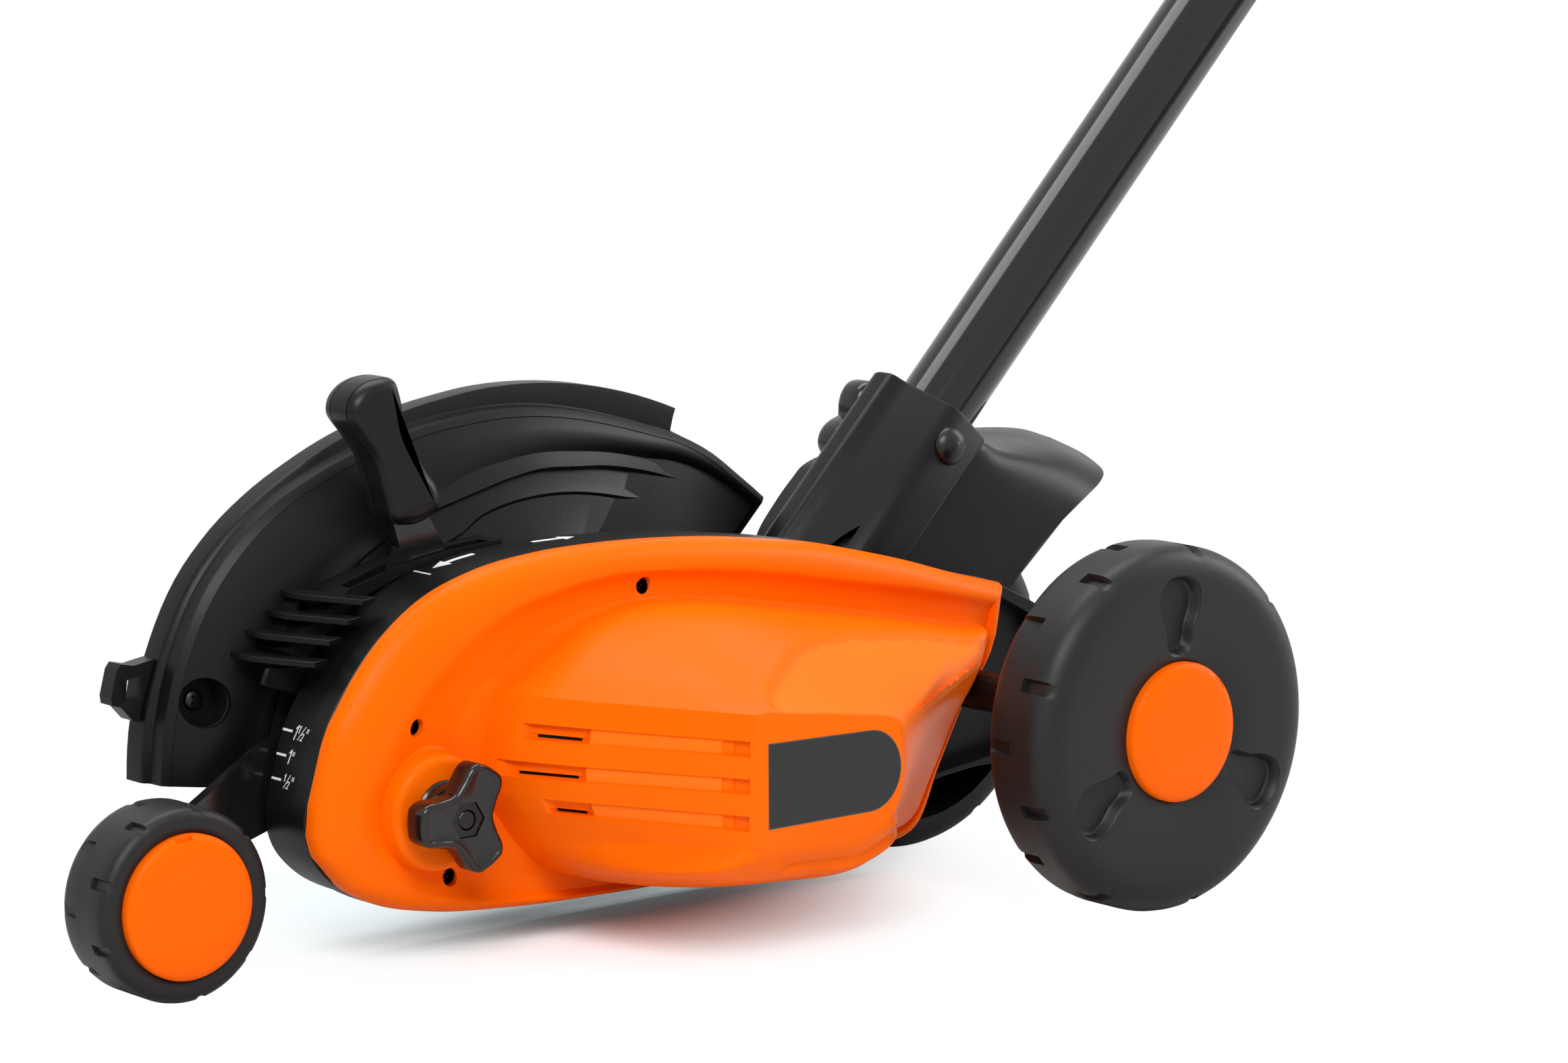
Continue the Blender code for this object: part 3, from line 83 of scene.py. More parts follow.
def moulded_plastic(name, colour, roughness, grain=0.1, shine=0.22, grain_size=700.0):
    """Injection-moulded plastic: shade and gloss vary a little, over the fine grain of an eroded mould."""
    finish = bpy.data.materials.new(name)
    finish.use_nodes = True
    tree = finish.node_tree
    shader = tree.nodes["Principled BSDF"]
    shader.inputs["Specular IOR Level"].default_value = shine
    place = add_node(tree, "TexCoord")
    patches = add_node(tree, "TexNoise", scale=16, detail=5)
    shades = add_node(tree, "ValToRGB")
    darker, paler = shades.color_ramp.elements
    darker.position = 0.3
    darker.color = (*[channel * 0.93 for channel in colour], 1)
    paler.position = 0.7
    paler.color = (*colour, 1)
    gloss = add_node(tree, "MapRange", to_min=roughness - 0.04, to_max=roughness + 0.05)
    speckle = add_node(tree, "TexNoise", scale=grain_size, detail=3)
    relief = add_node(tree, "Bump", strength=grain, distance=0.0004)
    join(tree, (place, "Object", patches, "Vector"), (place, "Object", speckle, "Vector"),
         (patches, "Fac", shades, "Fac"), (patches, "Fac", gloss, "Value"),
         (shades, "Color", shader, "Base Color"), (gloss, "Result", shader, "Roughness"),
         (speckle, "Fac", relief, "Height"), (relief, "Normal", shader, "Normal"))
    return finish


def smooth_by_angle(mesh, corner):
    mesh.polygons.foreach_set("use_smooth", [True] * len(mesh.polygons))
    mesh.set_sharp_from_angle(angle=math.radians(corner))


def made_from(name, points, faces, finish, corner=35):
    """A piece from its points in the frame's metres and its faces, with normals outwards."""
    mesh = bpy.data.meshes.new(name)
    mesh.from_pydata([tuple(point) for point in points], [], faces)
    build = bmesh.new()
    build.from_mesh(mesh)
    bmesh.ops.remove_doubles(build, verts=build.verts, dist=0.000001)
    bmesh.ops.recalc_face_normals(build, faces=build.faces)
    build.to_mesh(mesh)
    build.free()
    mesh.materials.append(finish)
    smooth_by_angle(mesh, corner)
    piece = bpy.data.objects.new(name, mesh)
    bpy.context.scene.collection.objects.link(piece)
    return piece


def lofted(name, rows, finish, corner=35, ends=True):
    """A skin round rows of points; ends closes it with a flat face at each end."""
    width = len(rows[0])
    faces = []
    for row in range(len(rows) - 1):
        for step in range(width):
            after = (step + 1) % width
            faces.append((row * width + step, row * width + after, (row + 1) * width + after,
                          (row + 1) * width + step))
    if ends:
        faces.append(tuple(range(width)))
        faces.append(tuple(range((len(rows) - 1) * width, len(rows) * width)))
    return made_from(name, [point for row in rows for point in row], faces, finish, corner)


def inset(loop, distance):
    """A clockwise loop in x and z moved inwards by distance."""
    loop = np.array(loop, dtype=float)
    along = np.roll(loop, -1, axis=0) - np.roll(loop, 1, axis=0)
    along /= np.linalg.norm(along, axis=1)[:, None]
    return loop + np.stack([along[:, 1], -along[:, 0]], axis=1) * distance


def flat_row(loop, y):
    return [at(x, y, z) for x, z in loop]


def prism(name, loop, y_near, y_far, finish, corner=35):
    """A loop in x and z carried straight across the machine."""
    return lofted(name, [flat_row(loop, y_near), flat_row(loop, y_far)], finish, corner)


def hermite(here, after, out, into, t):
    """A share t of the way from here to after on a curve that leaves along out and arrives along into."""
    return (here * (2 * t ** 3 - 3 * t ** 2 + 1) + after * (3 * t ** 2 - 2 * t ** 3)
            + out * (t ** 3 - 2 * t ** 2 + t) + into * (t ** 3 - t ** 2))


def along_loop(loop, corners, start, parts):
    """Points on the smooth closed curve through loop, at equal parts of the way from one point on."""
    count = len(loop)

    def slope(k):
        arriving, leaving = loop[k] - loop[k - 1], loop[(k + 1) % count] - loop[k]
        back, front = np.linalg.norm(arriving), np.linalg.norm(leaving)
        return (leaving / front * back + arriving / back * front) / (back + front)
    end = (start + 1) % count
    length = np.linalg.norm(loop[end] - loop[start])
    straight = (loop[end] - loop[start]) / length
    out = (straight if start in corners else slope(start)) * length
    into = (straight if end in corners else slope(end)) * length
    return [hermite(loop[start], loop[end], out, into, step / parts) for step in range(parts)]


def smooth_loop(loop, corners=(), spacing=3.0):
    """Points every few millimetres on a smooth closed curve through loop, which keeps its listed corners."""
    loop = np.array(loop, dtype=float)
    found = []
    for start, (here, after) in enumerate(zip(loop, np.roll(loop, -1, axis=0))):
        found += along_loop(loop, corners, start, max(1, round(np.linalg.norm(after - here) / spacing)))
    return np.array(found)


def placed(centre, turn, along, across=0.0):
    """A place in x and z, along and across a direction that leaves the centre at a turn."""
    return (centre[0] + along * math.cos(turn) - across * math.sin(turn),
            centre[1] + along * math.sin(turn) + across * math.cos(turn))


def turns_of(count, way=1):
    """Equal turns round a circle; way is -1 for clockwise."""
    return [way * 2 * math.pi * step / count for step in range(count)]


def ring(centre, radius, y, count):
    return flat_row([placed(centre, turn, radius) for turn in turns_of(count)], y)


def round_bar(name, x, z, radius, y_near, y_far, finish, count=48):
    """A closed round bar along y."""
    return lofted(name, [ring((x, z), radius, y_near, count), ring((x, z), radius, y_far, count)], finish)


def carved(piece, tools, operation="DIFFERENCE", solver="EXACT", corner=35):
    """The piece after its cutting or joining tools have done their work; the tools are thrown away."""
    for tool in tools:
        change = piece.modifiers.new(tool.name, "BOOLEAN")
        change.operation = operation
        change.solver = solver
        change.object = tool
    bpy.context.view_layer.update()
    result = bpy.data.meshes.new_from_object(piece.evaluated_get(bpy.context.evaluated_depsgraph_get()))
    piece.modifiers.clear()
    piece.data = result
    for tool in tools:
        bpy.data.objects.remove(tool)
    smooth_by_angle(result, corner)
    return piece


def stands_for(piece, body, slot, *replaced):
    """The piece rides on its body and takes the place of the solids it replaces; slot is not used."""
    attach(piece, body)
    if replaced:
        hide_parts(*replaced)


def softened(piece, width, corner=40, segments=2):
    """Moulded or broken edges: a small round on every edge sharper than the corner angle."""
    edge = piece.modifiers.new("soft_edges", "BEVEL")
    edge.width = width * MM
    edge.segments = segments
    edge.limit_method = "ANGLE"
    edge.angle_limit = math.radians(corner)
    edge.miter_outer = "MITER_ARC"
    edge.harden_normals = False


BLACK = moulded_plastic("black_moulding", (0.0042, 0.0042, 0.0044), 0.36, 0.12, 0.17)
# Painted shade: a darker copy of the black plastic for the walls of holes, rooms, bores and slits, where
# little light reaches
SHADE_BLACK = moulded_plastic("black_in_shade", (0.002, 0.002, 0.0021), 0.5, 0.1, 0.08)

# Outlines in x and z run clockwise from the front over the top
PARTING = [
    (-331.5, 59.7), (-327.8, 76), (-320.7, 97), (-309.3, 114), (-295.7, 129), (-277.5, 142), (-250, 151.5),
    (-221, 155.3), (-192, 156), (-156, 154.6), (-131, 152.4), (-106, 149), (-81, 145), (-55.5, 139),
    (-29, 132), (-3, 124), (23, 117), (16.7, 93.5), (-2, 67), (-15.6, 42.6), (-27.5, 18),
    (-70, 14.5), (-130, 13.6), (-191, 14.2), (-241, 16), (-277.7, 19.8), (-302.4, 26.4), (-317.7, 35.3),
    (-328.5, 48)]
HOUSING_TAIL = [(36, 111), (56, 99), (67, 84), (68, 66), (60, 48), (42, 39), (10, 37), (-20, 32), (-42, 20)]
HOUSING_NEAR, HOUSING_STEP, HOUSING_FAR = 139.1, 149.0, 168.0
REAR_WALL = 156
WHEEL_ROOM = REAR_RADIUS + 3.4
SPINDLE = (-205, 70)
PIVOT = (-281, 62)

# The housing follows the cover's parting line, and at the rear it reaches back past the axle
housing_loop = PARTING[:17] + HOUSING_TAIL + PARTING[21:]
rim_loop = smooth_loop(housing_loop, corners=(26,))
drum_loop = inset(rim_loop, 1.0)
drum_end = inset(rim_loop, 1.6)
edge_loop = inset(rim_loop, 0.5)
housing = lofted("gear_housing_shell", [
    flat_row(edge_loop, HOUSING_NEAR), flat_row(rim_loop, HOUSING_NEAR + 0.5),
    flat_row(rim_loop, HOUSING_STEP - 0.4), flat_row(edge_loop, HOUSING_STEP),
    flat_row(drum_loop, HOUSING_STEP + 0.3), flat_row(drum_loop, HOUSING_FAR - 0.6),
    flat_row(drum_end, HOUSING_FAR)], BLACK)
room_loop = inset(housing_loop, 4)[::2]
DRUM_ROOM_REAR = -76
deep_loop = [point for point in room_loop if point[0] < DRUM_ROOM_REAR]
carved(housing, [
    round_bar("wheel_room", *AXLE, WHEEL_ROOM, REAR_WALL, 200, SHADE_BLACK, 96),
    prism("gear_room", room_loop, 120, 150, SHADE_BLACK),
    prism("drum_room", deep_loop, 130, 165, SHADE_BLACK)])
carved(housing, [round_bar("spindle_boss", *SPINDLE, 19.6, REAR_WALL, 176.2, BLACK)], "UNION")
carved(housing, [
    round_bar("bearing_seat", *SPINDLE, 15.3, 150, HOUSING_FAR, SHADE_BLACK),
    round_bar("spindle_hole", *SPINDLE, 10, 150, 180, SHADE_BLACK),
    round_bar("pivot_hole", *PIVOT, 4.3, 130, 180, SHADE_BLACK),
    round_bar("axle_hole", *AXLE, 5.3, 130, 170, SHADE_BLACK)])
stands_for(housing, "frame", "black_plastic", "gear_housing")

# Depth scale and direction arrows
# White ink is printed on the black drum: three ticks with the cutting depth in inches at the front, a mark
# by the lever, and two arrows on top that point away from each other. The ink is a film on the plastic.
INK = moulded_plastic("white_ink", (0.8, 0.8, 0.8), 0.5, 0.05)
INK_LIFT = 0.12


def read_off(value, pairs, *beyond):
    """The second number of the pairs where the first has a value, in straight lines between them."""
    places, heights = zip(*pairs)
    return float(np.interp(value, places, heights, *beyond))


DRUM_FRONT = sorted((z, x) for x, z in drum_loop if x < -250 and z > 30)
DRUM_CROWN = sorted((x, z) for x, z in drum_loop if z > 85)


def ink_on_front(name, outlines):
    """Flat shapes given across the drum (y) and up it (z), wrapped onto its front wall."""
    points, faces = [], []
    for outline in outlines:
        first, count = len(points), len(outline)
        for lift in (-INK_LIFT, INK_LIFT):
            points += [at(read_off(z, DRUM_FRONT) + lift, y, z) for y, z in outline]
        faces.append(tuple(range(first, first + count)))
        faces.append(tuple(range(first + count, first + 2 * count)))
        for step in range(count):
            after = (step + 1) % count
            faces.append((first + step, first + after, first + count + after, first + count + step))
    stands_for(made_from(name, points, faces, INK), "frame", "black_plastic")


# Strokes of each sign in a cell 1 wide and 2 high, and how far the next sign stands along
STROKES = {
    "1": [((0.45, 0), (0.45, 2)), ((0.45, 2), (0.1, 1.6))],
    "2": [((0, 1.6), (0.2, 2)), ((0.2, 2), (0.8, 2)), ((0.8, 2), (1, 1.6)), ((1, 1.6), (0.9, 1.1)),
          ((0.9, 1.1), (0, 0)), ((0, 0), (1, 0))],
    "/": [((0, 0), (0.8, 2))],
    "inch": [((0.1, 2), (0.1, 1.4)), ((0.5, 2), (0.5, 1.4))]}
STEPS_ALONG = {"1": 0.55, "2": 1.0, "/": 0.35, "inch": 0.6}
SIGN_GAP = 0.75
SLANT = 0.2
STROKE_WIDTH = 0.32


def stroke_outline(start, end, width):
    start, end = np.array(start, dtype=float), np.array(end, dtype=float)
    along = (end - start) / np.linalg.norm(end - start)
    side = np.array((-along[1], along[0])) * width / 2
    reach = along * width / 2
    return [start - reach - side, end + reach - side, end + reach + side, start - reach + side]


def written(text, height):
    """Outlines of a row of characters, from its left foot: how far along, and how high."""
    outlines = []
    along = 0.0
    for sign, raised, size in text:
        scale = height / 2 * size
        width = 0.24 + 0.3 * size if sign == "1" else STROKE_WIDTH
        for stroke in STROKES[sign]:
            ends = [(along + across * scale + SLANT * (raised * height + up * scale),
                     raised * height + up * scale) for across, up in stroke]
            outlines.append(stroke_outline(*ends, width))
        along += STEPS_ALONG[sign] * scale + SIGN_GAP
    return outlines


HALF_INCH = [("1", 0.5, 0.5), ("/", 0.0, 1.0), ("2", 0.0, 0.5), ("inch", 0.0, 0.9)]
TICK_LEFT, TICK_RIGHT, TEXT_LEFT = 167.2, 160.8, 159.6
TICK_HALF = 0.45
TEXT_DROP, TEXT_HEIGHT = 2.6, 5
for name, tick_z, text in (("depth_one_and_half", 93.4, [("1", 0, 1)] + HALF_INCH),
                           ("depth_one", 84.2, [("1", 0, 1), ("inch", 0, 0.9)]),
                           ("depth_half", 75.0, HALF_INCH)):
    low, high = tick_z - TICK_HALF, tick_z + TICK_HALF
    tick = [(TICK_LEFT, low), (TICK_RIGHT, low), (TICK_RIGHT, high), (TICK_LEFT, high)]
    letters = [[(TEXT_LEFT - along, tick_z - TEXT_DROP + up) for along, up in outline]
               for outline in written(text, TEXT_HEIGHT)]
    ink_on_front(name, [tick] + letters)


def ink_on_top(name, y, stations):
    """A flat shape along the machine on the drum's crown, given as places and its half width at each."""
    rows = []
    for (x, half), (next_x, next_half) in zip(stations, stations[1:]):
        for share in (0, 0.2, 0.4, 0.6, 0.8, 1):
            place, reach = x + (next_x - x) * share, half + (next_half - half) * share
            top = read_off(place, DRUM_CROWN)
            rows.append([at(place, y - reach, top + INK_LIFT), at(place, y + reach, top + INK_LIFT),
                         at(place, y + reach, top - INK_LIFT), at(place, y - reach, top - INK_LIFT)])
    stands_for(lofted(name, rows, INK), "frame", "black_plastic")


ink_on_top("arrow_front", 161.5, [(-253, 0.05), (-246.5, 3.8), (-246.4, 1.2), (-239, 1.2), (-233, 1.2)])
ink_on_top("arrow_rear", 161.5, [(-183, 0.05), (-189.5, 3.8), (-189.6, 1.2), (-197, 1.2), (-204, 1.2)])
ink_on_top("lever_mark", 161.6, [(-258.4, 5.6), (-257.6, 5.6)])


# Motor and gear train
# A universal motor lies across the machine: laminated stator and armature, copper commutator and brush
# holders, and a fan. Its pinion drives the blade spindle's gear, all bolted to a pressed steel plate.
def bare_metal(name, colour, roughness, grain_size=420.0):
    finish = moulded_plastic(name, colour, roughness, 0.12, 0.5, grain_size)
    finish.node_tree.nodes["Principled BSDF"].inputs["Metallic"].default_value = 1.0
    return finish


STEEL = bare_metal("machined_steel", (0.42, 0.42, 0.43), 0.3)
ZINC = bare_metal("zinc_plated_steel", (0.58, 0.57, 0.53), 0.32)
IRON = bare_metal("laminated_iron", (0.16, 0.16, 0.17), 0.5, 60.0)
COPPER = bare_metal("copper_alloy", (0.72, 0.33, 0.17), 0.32)
PAINT = moulded_plastic("gloss_black_paint", (0.006, 0.006, 0.0065), 0.14, 0.05, 0.5, 220.0)
GRIP_BLACK = moulded_plastic("soft_grip_black", (0.0042, 0.0042, 0.0044), 0.34, 0.06, 0.22)
CAP_ORANGE = moulded_plastic("cap_orange", (0.95, 0.125, 0.0), 0.36, 0.03, 0.06)
SLOT_FINISH = {
    "black_plastic": BLACK, "black_paint": PAINT, "soft_grip": GRIP_BLACK, "steel": STEEL,
    "laminated_iron": IRON, "copper_alloy": COPPER, "zinc_steel": ZINC, "orange_plastic": CAP_ORANGE}
for entry in frame["record"]["subparts"]:
    solid = nodes[entry["node"]]
    solid.data.materials.clear()
    solid.data.materials.append(SLOT_FINISH[entry["material_slot"]])
for name in ("stator", "armature_core", "spindle_gear", "motor_pinion", "motor_plate", "cooling_fan",
             "end_bracket", "blade_nut", "blade_flange", "axle_nut_near", "axle_nut_far", "front_axle_nut"):
    softened(nodes[name], 0.3)


# Motor cover
# One glossy orange shell over the motor and gears, 2.5 mm thick at its rim and face. A rolled rim runs round
# it, then a shallow valley with the screw holes, and the motor's bulge has three vent grooves in its front.
ORANGE = moulded_plastic("orange_shell", (0.95, 0.138, 0.0), 0.34, 0.03, 0.06)
GRAINED_ORANGE = moulded_plastic("orange_grained", (0.98, 0.17, 0.004), 0.6, 0.35, 0.14, 300.0)

CHANNEL = [
    (-312, 58), (-307, 73), (-294, 95.5), (-284, 108), (-271, 119), (-259, 128), (-241.5, 136),
    (-221, 141), (-195, 144.5), (-160, 143.5), (-135, 141), (-108, 137), (-82, 132), (-57, 127),
    (-32, 122), (-8, 116.5), (14, 111), (11.5, 92.5), (-6, 67.5), (-19.8, 43.3), (-32, 22.5),
    (-71, 17.3), (-130, 16.6), (-191, 17), (-232, 19), (-264, 23.5), (-288, 29.5), (-302, 37),
    (-310, 47)]
BASE = [
    (-257, 72), (-255.6, 82), (-252, 95), (-248, 104.5), (-241, 108), (-227, 116), (-211, 125),
    (-197, 129.5), (-182, 132), (-155, 131), (-128, 127), (-100, 121.5), (-76, 117), (-52, 112.5),
    (-28, 107.5), (-8, 103), (12, 98), (8, 88), (-8, 66.5), (-22, 43), (-34.5, 24),
    (-72, 21), (-130, 20.5), (-183, 21), (-206, 23.5), (-221, 28.5), (-233, 37), (-242, 46),
    (-252, 60)]
FACE = [
    (-204, 79), (-204, 88), (-203.6, 96), (-203, 104.6), (-198, 104.8), (-190, 103.6), (-183, 102.6),
    (-176, 101.6), (-169, 100.6), (-162, 99.6), (-155, 98.6), (-149, 97.7), (-143, 96.8), (-138, 96),
    (-133.5, 94.5), (-130.5, 91), (-129, 86), (-128.3, 78), (-128.5, 70), (-130, 63), (-133, 57.5),
    (-138, 53.5), (-147, 51.5), (-160, 51), (-174, 51.2), (-188, 51.6), (-198, 52), (-204.6, 53),
    (-204.4, 66)]
FACE_Y, VALLEY_Y, LIP_Y, RIM_Y, PARTING_Y = 23.0, 129.5, 126.0, 136.5, 138.8
COVER_WALL = 2.5
FRONT_LOW, FRONT_HIGH = 27, 3
FRONT_STEPS = [27, 28, 0, 1, 2]

# Where the bulge's roof, rear flank and belly lie in the outlines; the other points are its front
ROOF, FLANK, BELLY = slice(4, 16), slice(16, 21), slice(21, 27)
# How far each side of the bulge has moved from the face's outline to the foot's, at a few depths
DEPTHS = [23.0, 26.0, 36.0, 56.0, 86.0, 114.0, 129.5]
ROOF_SHARE = [0.0, 0.045, 0.15, 0.38, 0.68, 0.91, 1.0]
FLANK_SHARE = [0.0, 0.035, 0.13, 0.32, 0.62, 0.9, 1.0]
BELLY_SHARE = [0.0, 0.28, 0.54, 0.72, 0.88, 0.97, 1.0]
FRONT_SHARE = [0.0, 0.03, 0.13, 0.35, 0.66, 0.91, 1.0]


def eased(value, places, heights):
    """Smooth rise through a few heights that never swings past them."""
    places, heights = np.array(places), np.array(heights)
    steps = np.diff(heights) / np.diff(places)
    slopes = [0 if a * b <= 0 else 2 * a * b / (a + b) for a, b in zip(steps, steps[1:])]
    slopes = [steps[0]] + slopes + [steps[-1]]
    i = int(np.clip(np.searchsorted(places, value) - 1, 0, len(steps) - 1))
    length = places[i + 1] - places[i]
    return hermite(heights[i], heights[i + 1], slopes[i] * length, slopes[i + 1] * length,
                   (value - places[i]) / length)


def ramp(value, start, end):
    """0 up to start, 1 from end on, and a straight rise between them."""
    return float(np.clip((value - start) / (end - start), 0, 1))


def bulge_loop(y):
    """Outline of the bulge at a depth between the face and the valley."""
    share = np.zeros(len(FACE))
    share[ROOF] = eased(y, DEPTHS, ROOF_SHARE)
    share[FLANK] = eased(y, DEPTHS, FLANK_SHARE)
    share[BELLY] = eased(y, DEPTHS, BELLY_SHARE)
    share[BELLY.start] = 0.35 * share[BELLY.start + 1] + 0.65 * share[BELLY.start - 1]
    share[FRONT_LOW:] = share[:FRONT_HIGH + 1] = np.interp(y, DEPTHS, FRONT_SHARE)
    return np.array(FACE) * (1 - share[:, None]) + np.array(BASE) * share[:, None]


GROOVES = [(88.4, 94.0), (73.8, 79.4), (59.4, 64.9)]
LINE_STEP = 0.3
FRONT_LINES = sorted(z + offset for low, high in GROOVES for z, offset in
                     ((low, -LINE_STEP), (low, LINE_STEP), (low, 1.5), (low, 1.7), (high, -LINE_STEP),
                      (high, LINE_STEP)))
NOMINAL_LOW, NOMINAL_HIGH = 50.0, 104.6
TALLEST_FRONT = 62.0


def cover_row(loop, y, corners):
    """A row of the cover's skin; its front part has the same heights everywhere, for the vent grooves."""
    loop = np.array(loop, dtype=float)
    rising = [point for start in FRONT_STEPS for point in along_loop(loop, corners, start, 8)]
    rising = np.array(rising + [loop[FRONT_HIGH]])
    low, high = loop[FRONT_LOW][1], loop[FRONT_HIGH][1]
    heights = [low]
    for line in FRONT_LINES:
        share = (line - NOMINAL_LOW) / (NOMINAL_HIGH - NOMINAL_LOW)
        heights.append(line if high - low < TALLEST_FRONT else low + share * (high - low))
    row = [(float(np.interp(z, rising[:, 1], rising[:, 0])), y, z) for z in heights + [high]]
    sides = [point for start, parts in enumerate(SIDE_PARTS, FRONT_HIGH)
             for point in along_loop(loop, corners, start, parts)]
    return row + [(x, y, z) for x, z in sides[1:]]


parting = np.array(PARTING)
SIDE_PARTS = [max(2, round(float(np.linalg.norm(after - here)) / 3.6))
              for here, after in zip(parting[FRONT_HIGH:], parting[FRONT_HIGH + 1:FRONT_LOW + 1])]
BULGE_CORNERS = (FRONT_HIGH, FRONT_LOW)
RIM_CORNERS = (16,)
bulge_depths = [23.0, 23.5, 24.3, 24.9, 26.0, 28.0, 30.6, 31.0, 33.0, 34.6, 35.2]
bulge_depths += [38 + 2.4 * step for step in range(19)]
bulge_depths += [84.0, 85.6, 86.4, 88.0, 91.0, 94.0, 97.0, 100.0, 102.6, 103.0, 106.0, 109.0, 111.4, 111.8,
                 114.0, 117.0, 120.0, 123.0, 126.0, 128.3, 129.5]
skin = [cover_row(bulge_loop(y), y, BULGE_CORNERS) for y in bulge_depths]
ROUNDS = [0.1, 0.25, 0.42, 0.58, 0.72, 0.84, 0.93, 0.98, 1.0]
base, channel = np.array(BASE), np.array(CHANNEL)
for share, y in ((0.25, VALLEY_Y), (0.6, VALLEY_Y - 0.2), (0.8, 127.8), (0.92, 126.5)):
    skin.append(cover_row(base * (1 - share) + channel * share, y, RIM_CORNERS))
for t in [0.0] + ROUNDS:
    y = LIP_Y + (RIM_Y - LIP_Y) * (1 - math.sqrt(1 - t * t))
    skin.append(cover_row(channel * (1 - t) + parting * t, y, RIM_CORNERS))
skin.append(cover_row(parting, PARTING_Y, RIM_CORNERS))

# Depth of a vent groove along y: a square pocket by the face, a pad, and the deep open end
POCKET = [(24.3, 0.0), (24.9, 2.6), (30.6, 2.6), (31.0, 1.8), (34.6, 1.8), (35.2, 1.1), (84.0, 1.1),
          (86.4, 3.0)]
GROOVE_ENDS = [(109.0, 111.8), (114.0, 120.0), (100.0, 103.0)]
SLIT_ENDS = [(88.0, 106.0), (88.0, 111.4), (88.0, 100.0)]
SLIT_DEPTH, SLIT_HEIGHT = 3.9, 1.6


def groove_depth(number, y, z):
    low, high = GROOVES[number]
    shallow, gone = GROOVE_ENDS[number]
    slit_start, slit_end = SLIT_ENDS[number]
    if slit_start <= y <= slit_end and low < z < low + SLIT_HEIGHT:
        return SLIT_DEPTH
    side = min(z - (low - LINE_STEP), (high + LINE_STEP) - z)
    return read_off(y, POCKET + [(shallow, 3.0), (gone, 0.0)], 0, 0) * ramp(side, 0, 2 * LINE_STEP)


INTO_FRONT = np.array((0.87, 0.49, 0.0))
SWOOSH = [(-197, 102.5), (-192.7, 103.9), (-177, 109.3), (-162.3, 112.6), (-144, 115.0), (-125.7, 115.7),
          (-98, 113.9), (-71.4, 110.4), (-45, 106.3), (-20.4, 101.7), (20, 94)]
PANEL_FRONT, PANEL_REAR = -197, 18
PANEL_DEPTH, PANEL_DROP = 1.3, 1.9
BEAD_DEPTH, BEAD_RISE, BEAD_WIDTH = 0.25, 0.5, 1.3
CHIN = [(-203, 47), (-200, 46), (-180.5, 38.5), (-160, 35.6), (-140, 38), (-113.6, 45.6), (-95, 56)]
CHIN_FRONT, CHIN_REAR = -203, -95
CHIN_DEPTH, CHIN_RISE = 2.4, 1.2


def settled(row):
    """One row of the skin with the vent grooves, the sunk rear panel and the sunk strip below the label."""
    moved = []
    for step, (x, y, z) in enumerate(row):
        if step < len(FRONT_LINES) + 2 and y < 121:
            for number, (low, high) in enumerate(GROOVES):
                if low - 1 < z < high + 1:
                    x, y, z = np.array((x, y, z)) + INTO_FRONT * groove_depth(number, y, z)
        elif y < 127 and z > 92 and PANEL_FRONT < x < PANEL_REAR:
            edge = read_off(x, SWOOSH)
            inside = ramp(x, PANEL_FRONT, PANEL_FRONT + 6) * ramp(x, PANEL_REAR, PANEL_REAR - 8)
            sunk = hermite(0, 1, 0, 0, ramp(z, edge, edge - 3) * ramp(y, 24.4, 31.4) * inside)
            bead = math.exp(-((z - edge - 1.2) / BEAD_WIDTH) ** 2) * inside
            y += PANEL_DEPTH * sunk - BEAD_DEPTH * bead
            z += BEAD_RISE * bead - PANEL_DROP * sunk
        elif y < 60 and z < 50 and CHIN_FRONT < x < CHIN_REAR:
            edge = read_off(x, CHIN)
            inside = ramp(x, CHIN_FRONT, CHIN_FRONT + 8) * ramp(x, CHIN_REAR, CHIN_REAR - 10)
            sunk = hermite(0, 1, 0, 0, ramp(z, edge, edge + 3) * ramp(y, 23.6, 27.6) * inside)
            y += CHIN_DEPTH * sunk
            z += CHIN_RISE * sunk
        moved.append(at(x, y, z))
    return moved


WALL_IN_BULGE = 4.2
INNER_Y = 132.5
rim_inside = inset(PARTING, COVER_WALL)
inner_rows = [cover_row(rim_inside, PARTING_Y, RIM_CORNERS), cover_row(rim_inside, INNER_Y, RIM_CORNERS),
              cover_row(inset(CHANNEL, COVER_WALL), INNER_Y, RIM_CORNERS)]
for y in (125.0, 114.0, 100.0, 86.0, 70.0, 56.0, 42.0, 33.0, 28.0):
    inner_rows.append(cover_row(inset(bulge_loop(y), WALL_IN_BULGE), y + COVER_WALL, BULGE_CORNERS))
cover_rows = [settled(row) for row in skin] + [[at(*point) for point in row] for row in inner_rows]
cover = lofted("motor_cover_shell", cover_rows, ORANGE, 30)
cover.data.materials.append(SHADE_BLACK)
cover.data.materials.append(GRAINED_ORANGE)
SHADE, GRAINED = 1, 2
GROOVES_REAR, PAD_NEAR, PAD_FAR = -190, 36, 84
PANEL_LOW, PANEL_NEAR, PANEL_FAR = 88, 24.5, 118
# The slits at the foot of the vent grooves take the shade black as painted shade; the pads and the rear panel
# take the grained orange
for face in cover.data.polygons:
    middle = (face.center - STAND) / MM
    for (low, high), (slit_start, slit_end) in zip(GROOVES, SLIT_ENDS):
        if middle.x >= GROOVES_REAR or not low - 0.1 < middle.z < high + 0.1:
            continue
        if slit_start < middle.y - 1 < slit_end and low + 0.2 < middle.z < low + SLIT_HEIGHT:
            face.material_index = SHADE
        elif PAD_NEAR < middle.y < PAD_FAR and low + 0.5 < middle.z < high - 0.4:
            face.material_index = GRAINED
    on_panel = (middle.x > GROOVES_REAR and middle.z > PANEL_LOW
                and PANEL_NEAR < middle.y < PANEL_FAR)
    if on_panel and middle.z < read_off(middle.x, SWOOSH) - 2.5:
        face.material_index = GRAINED


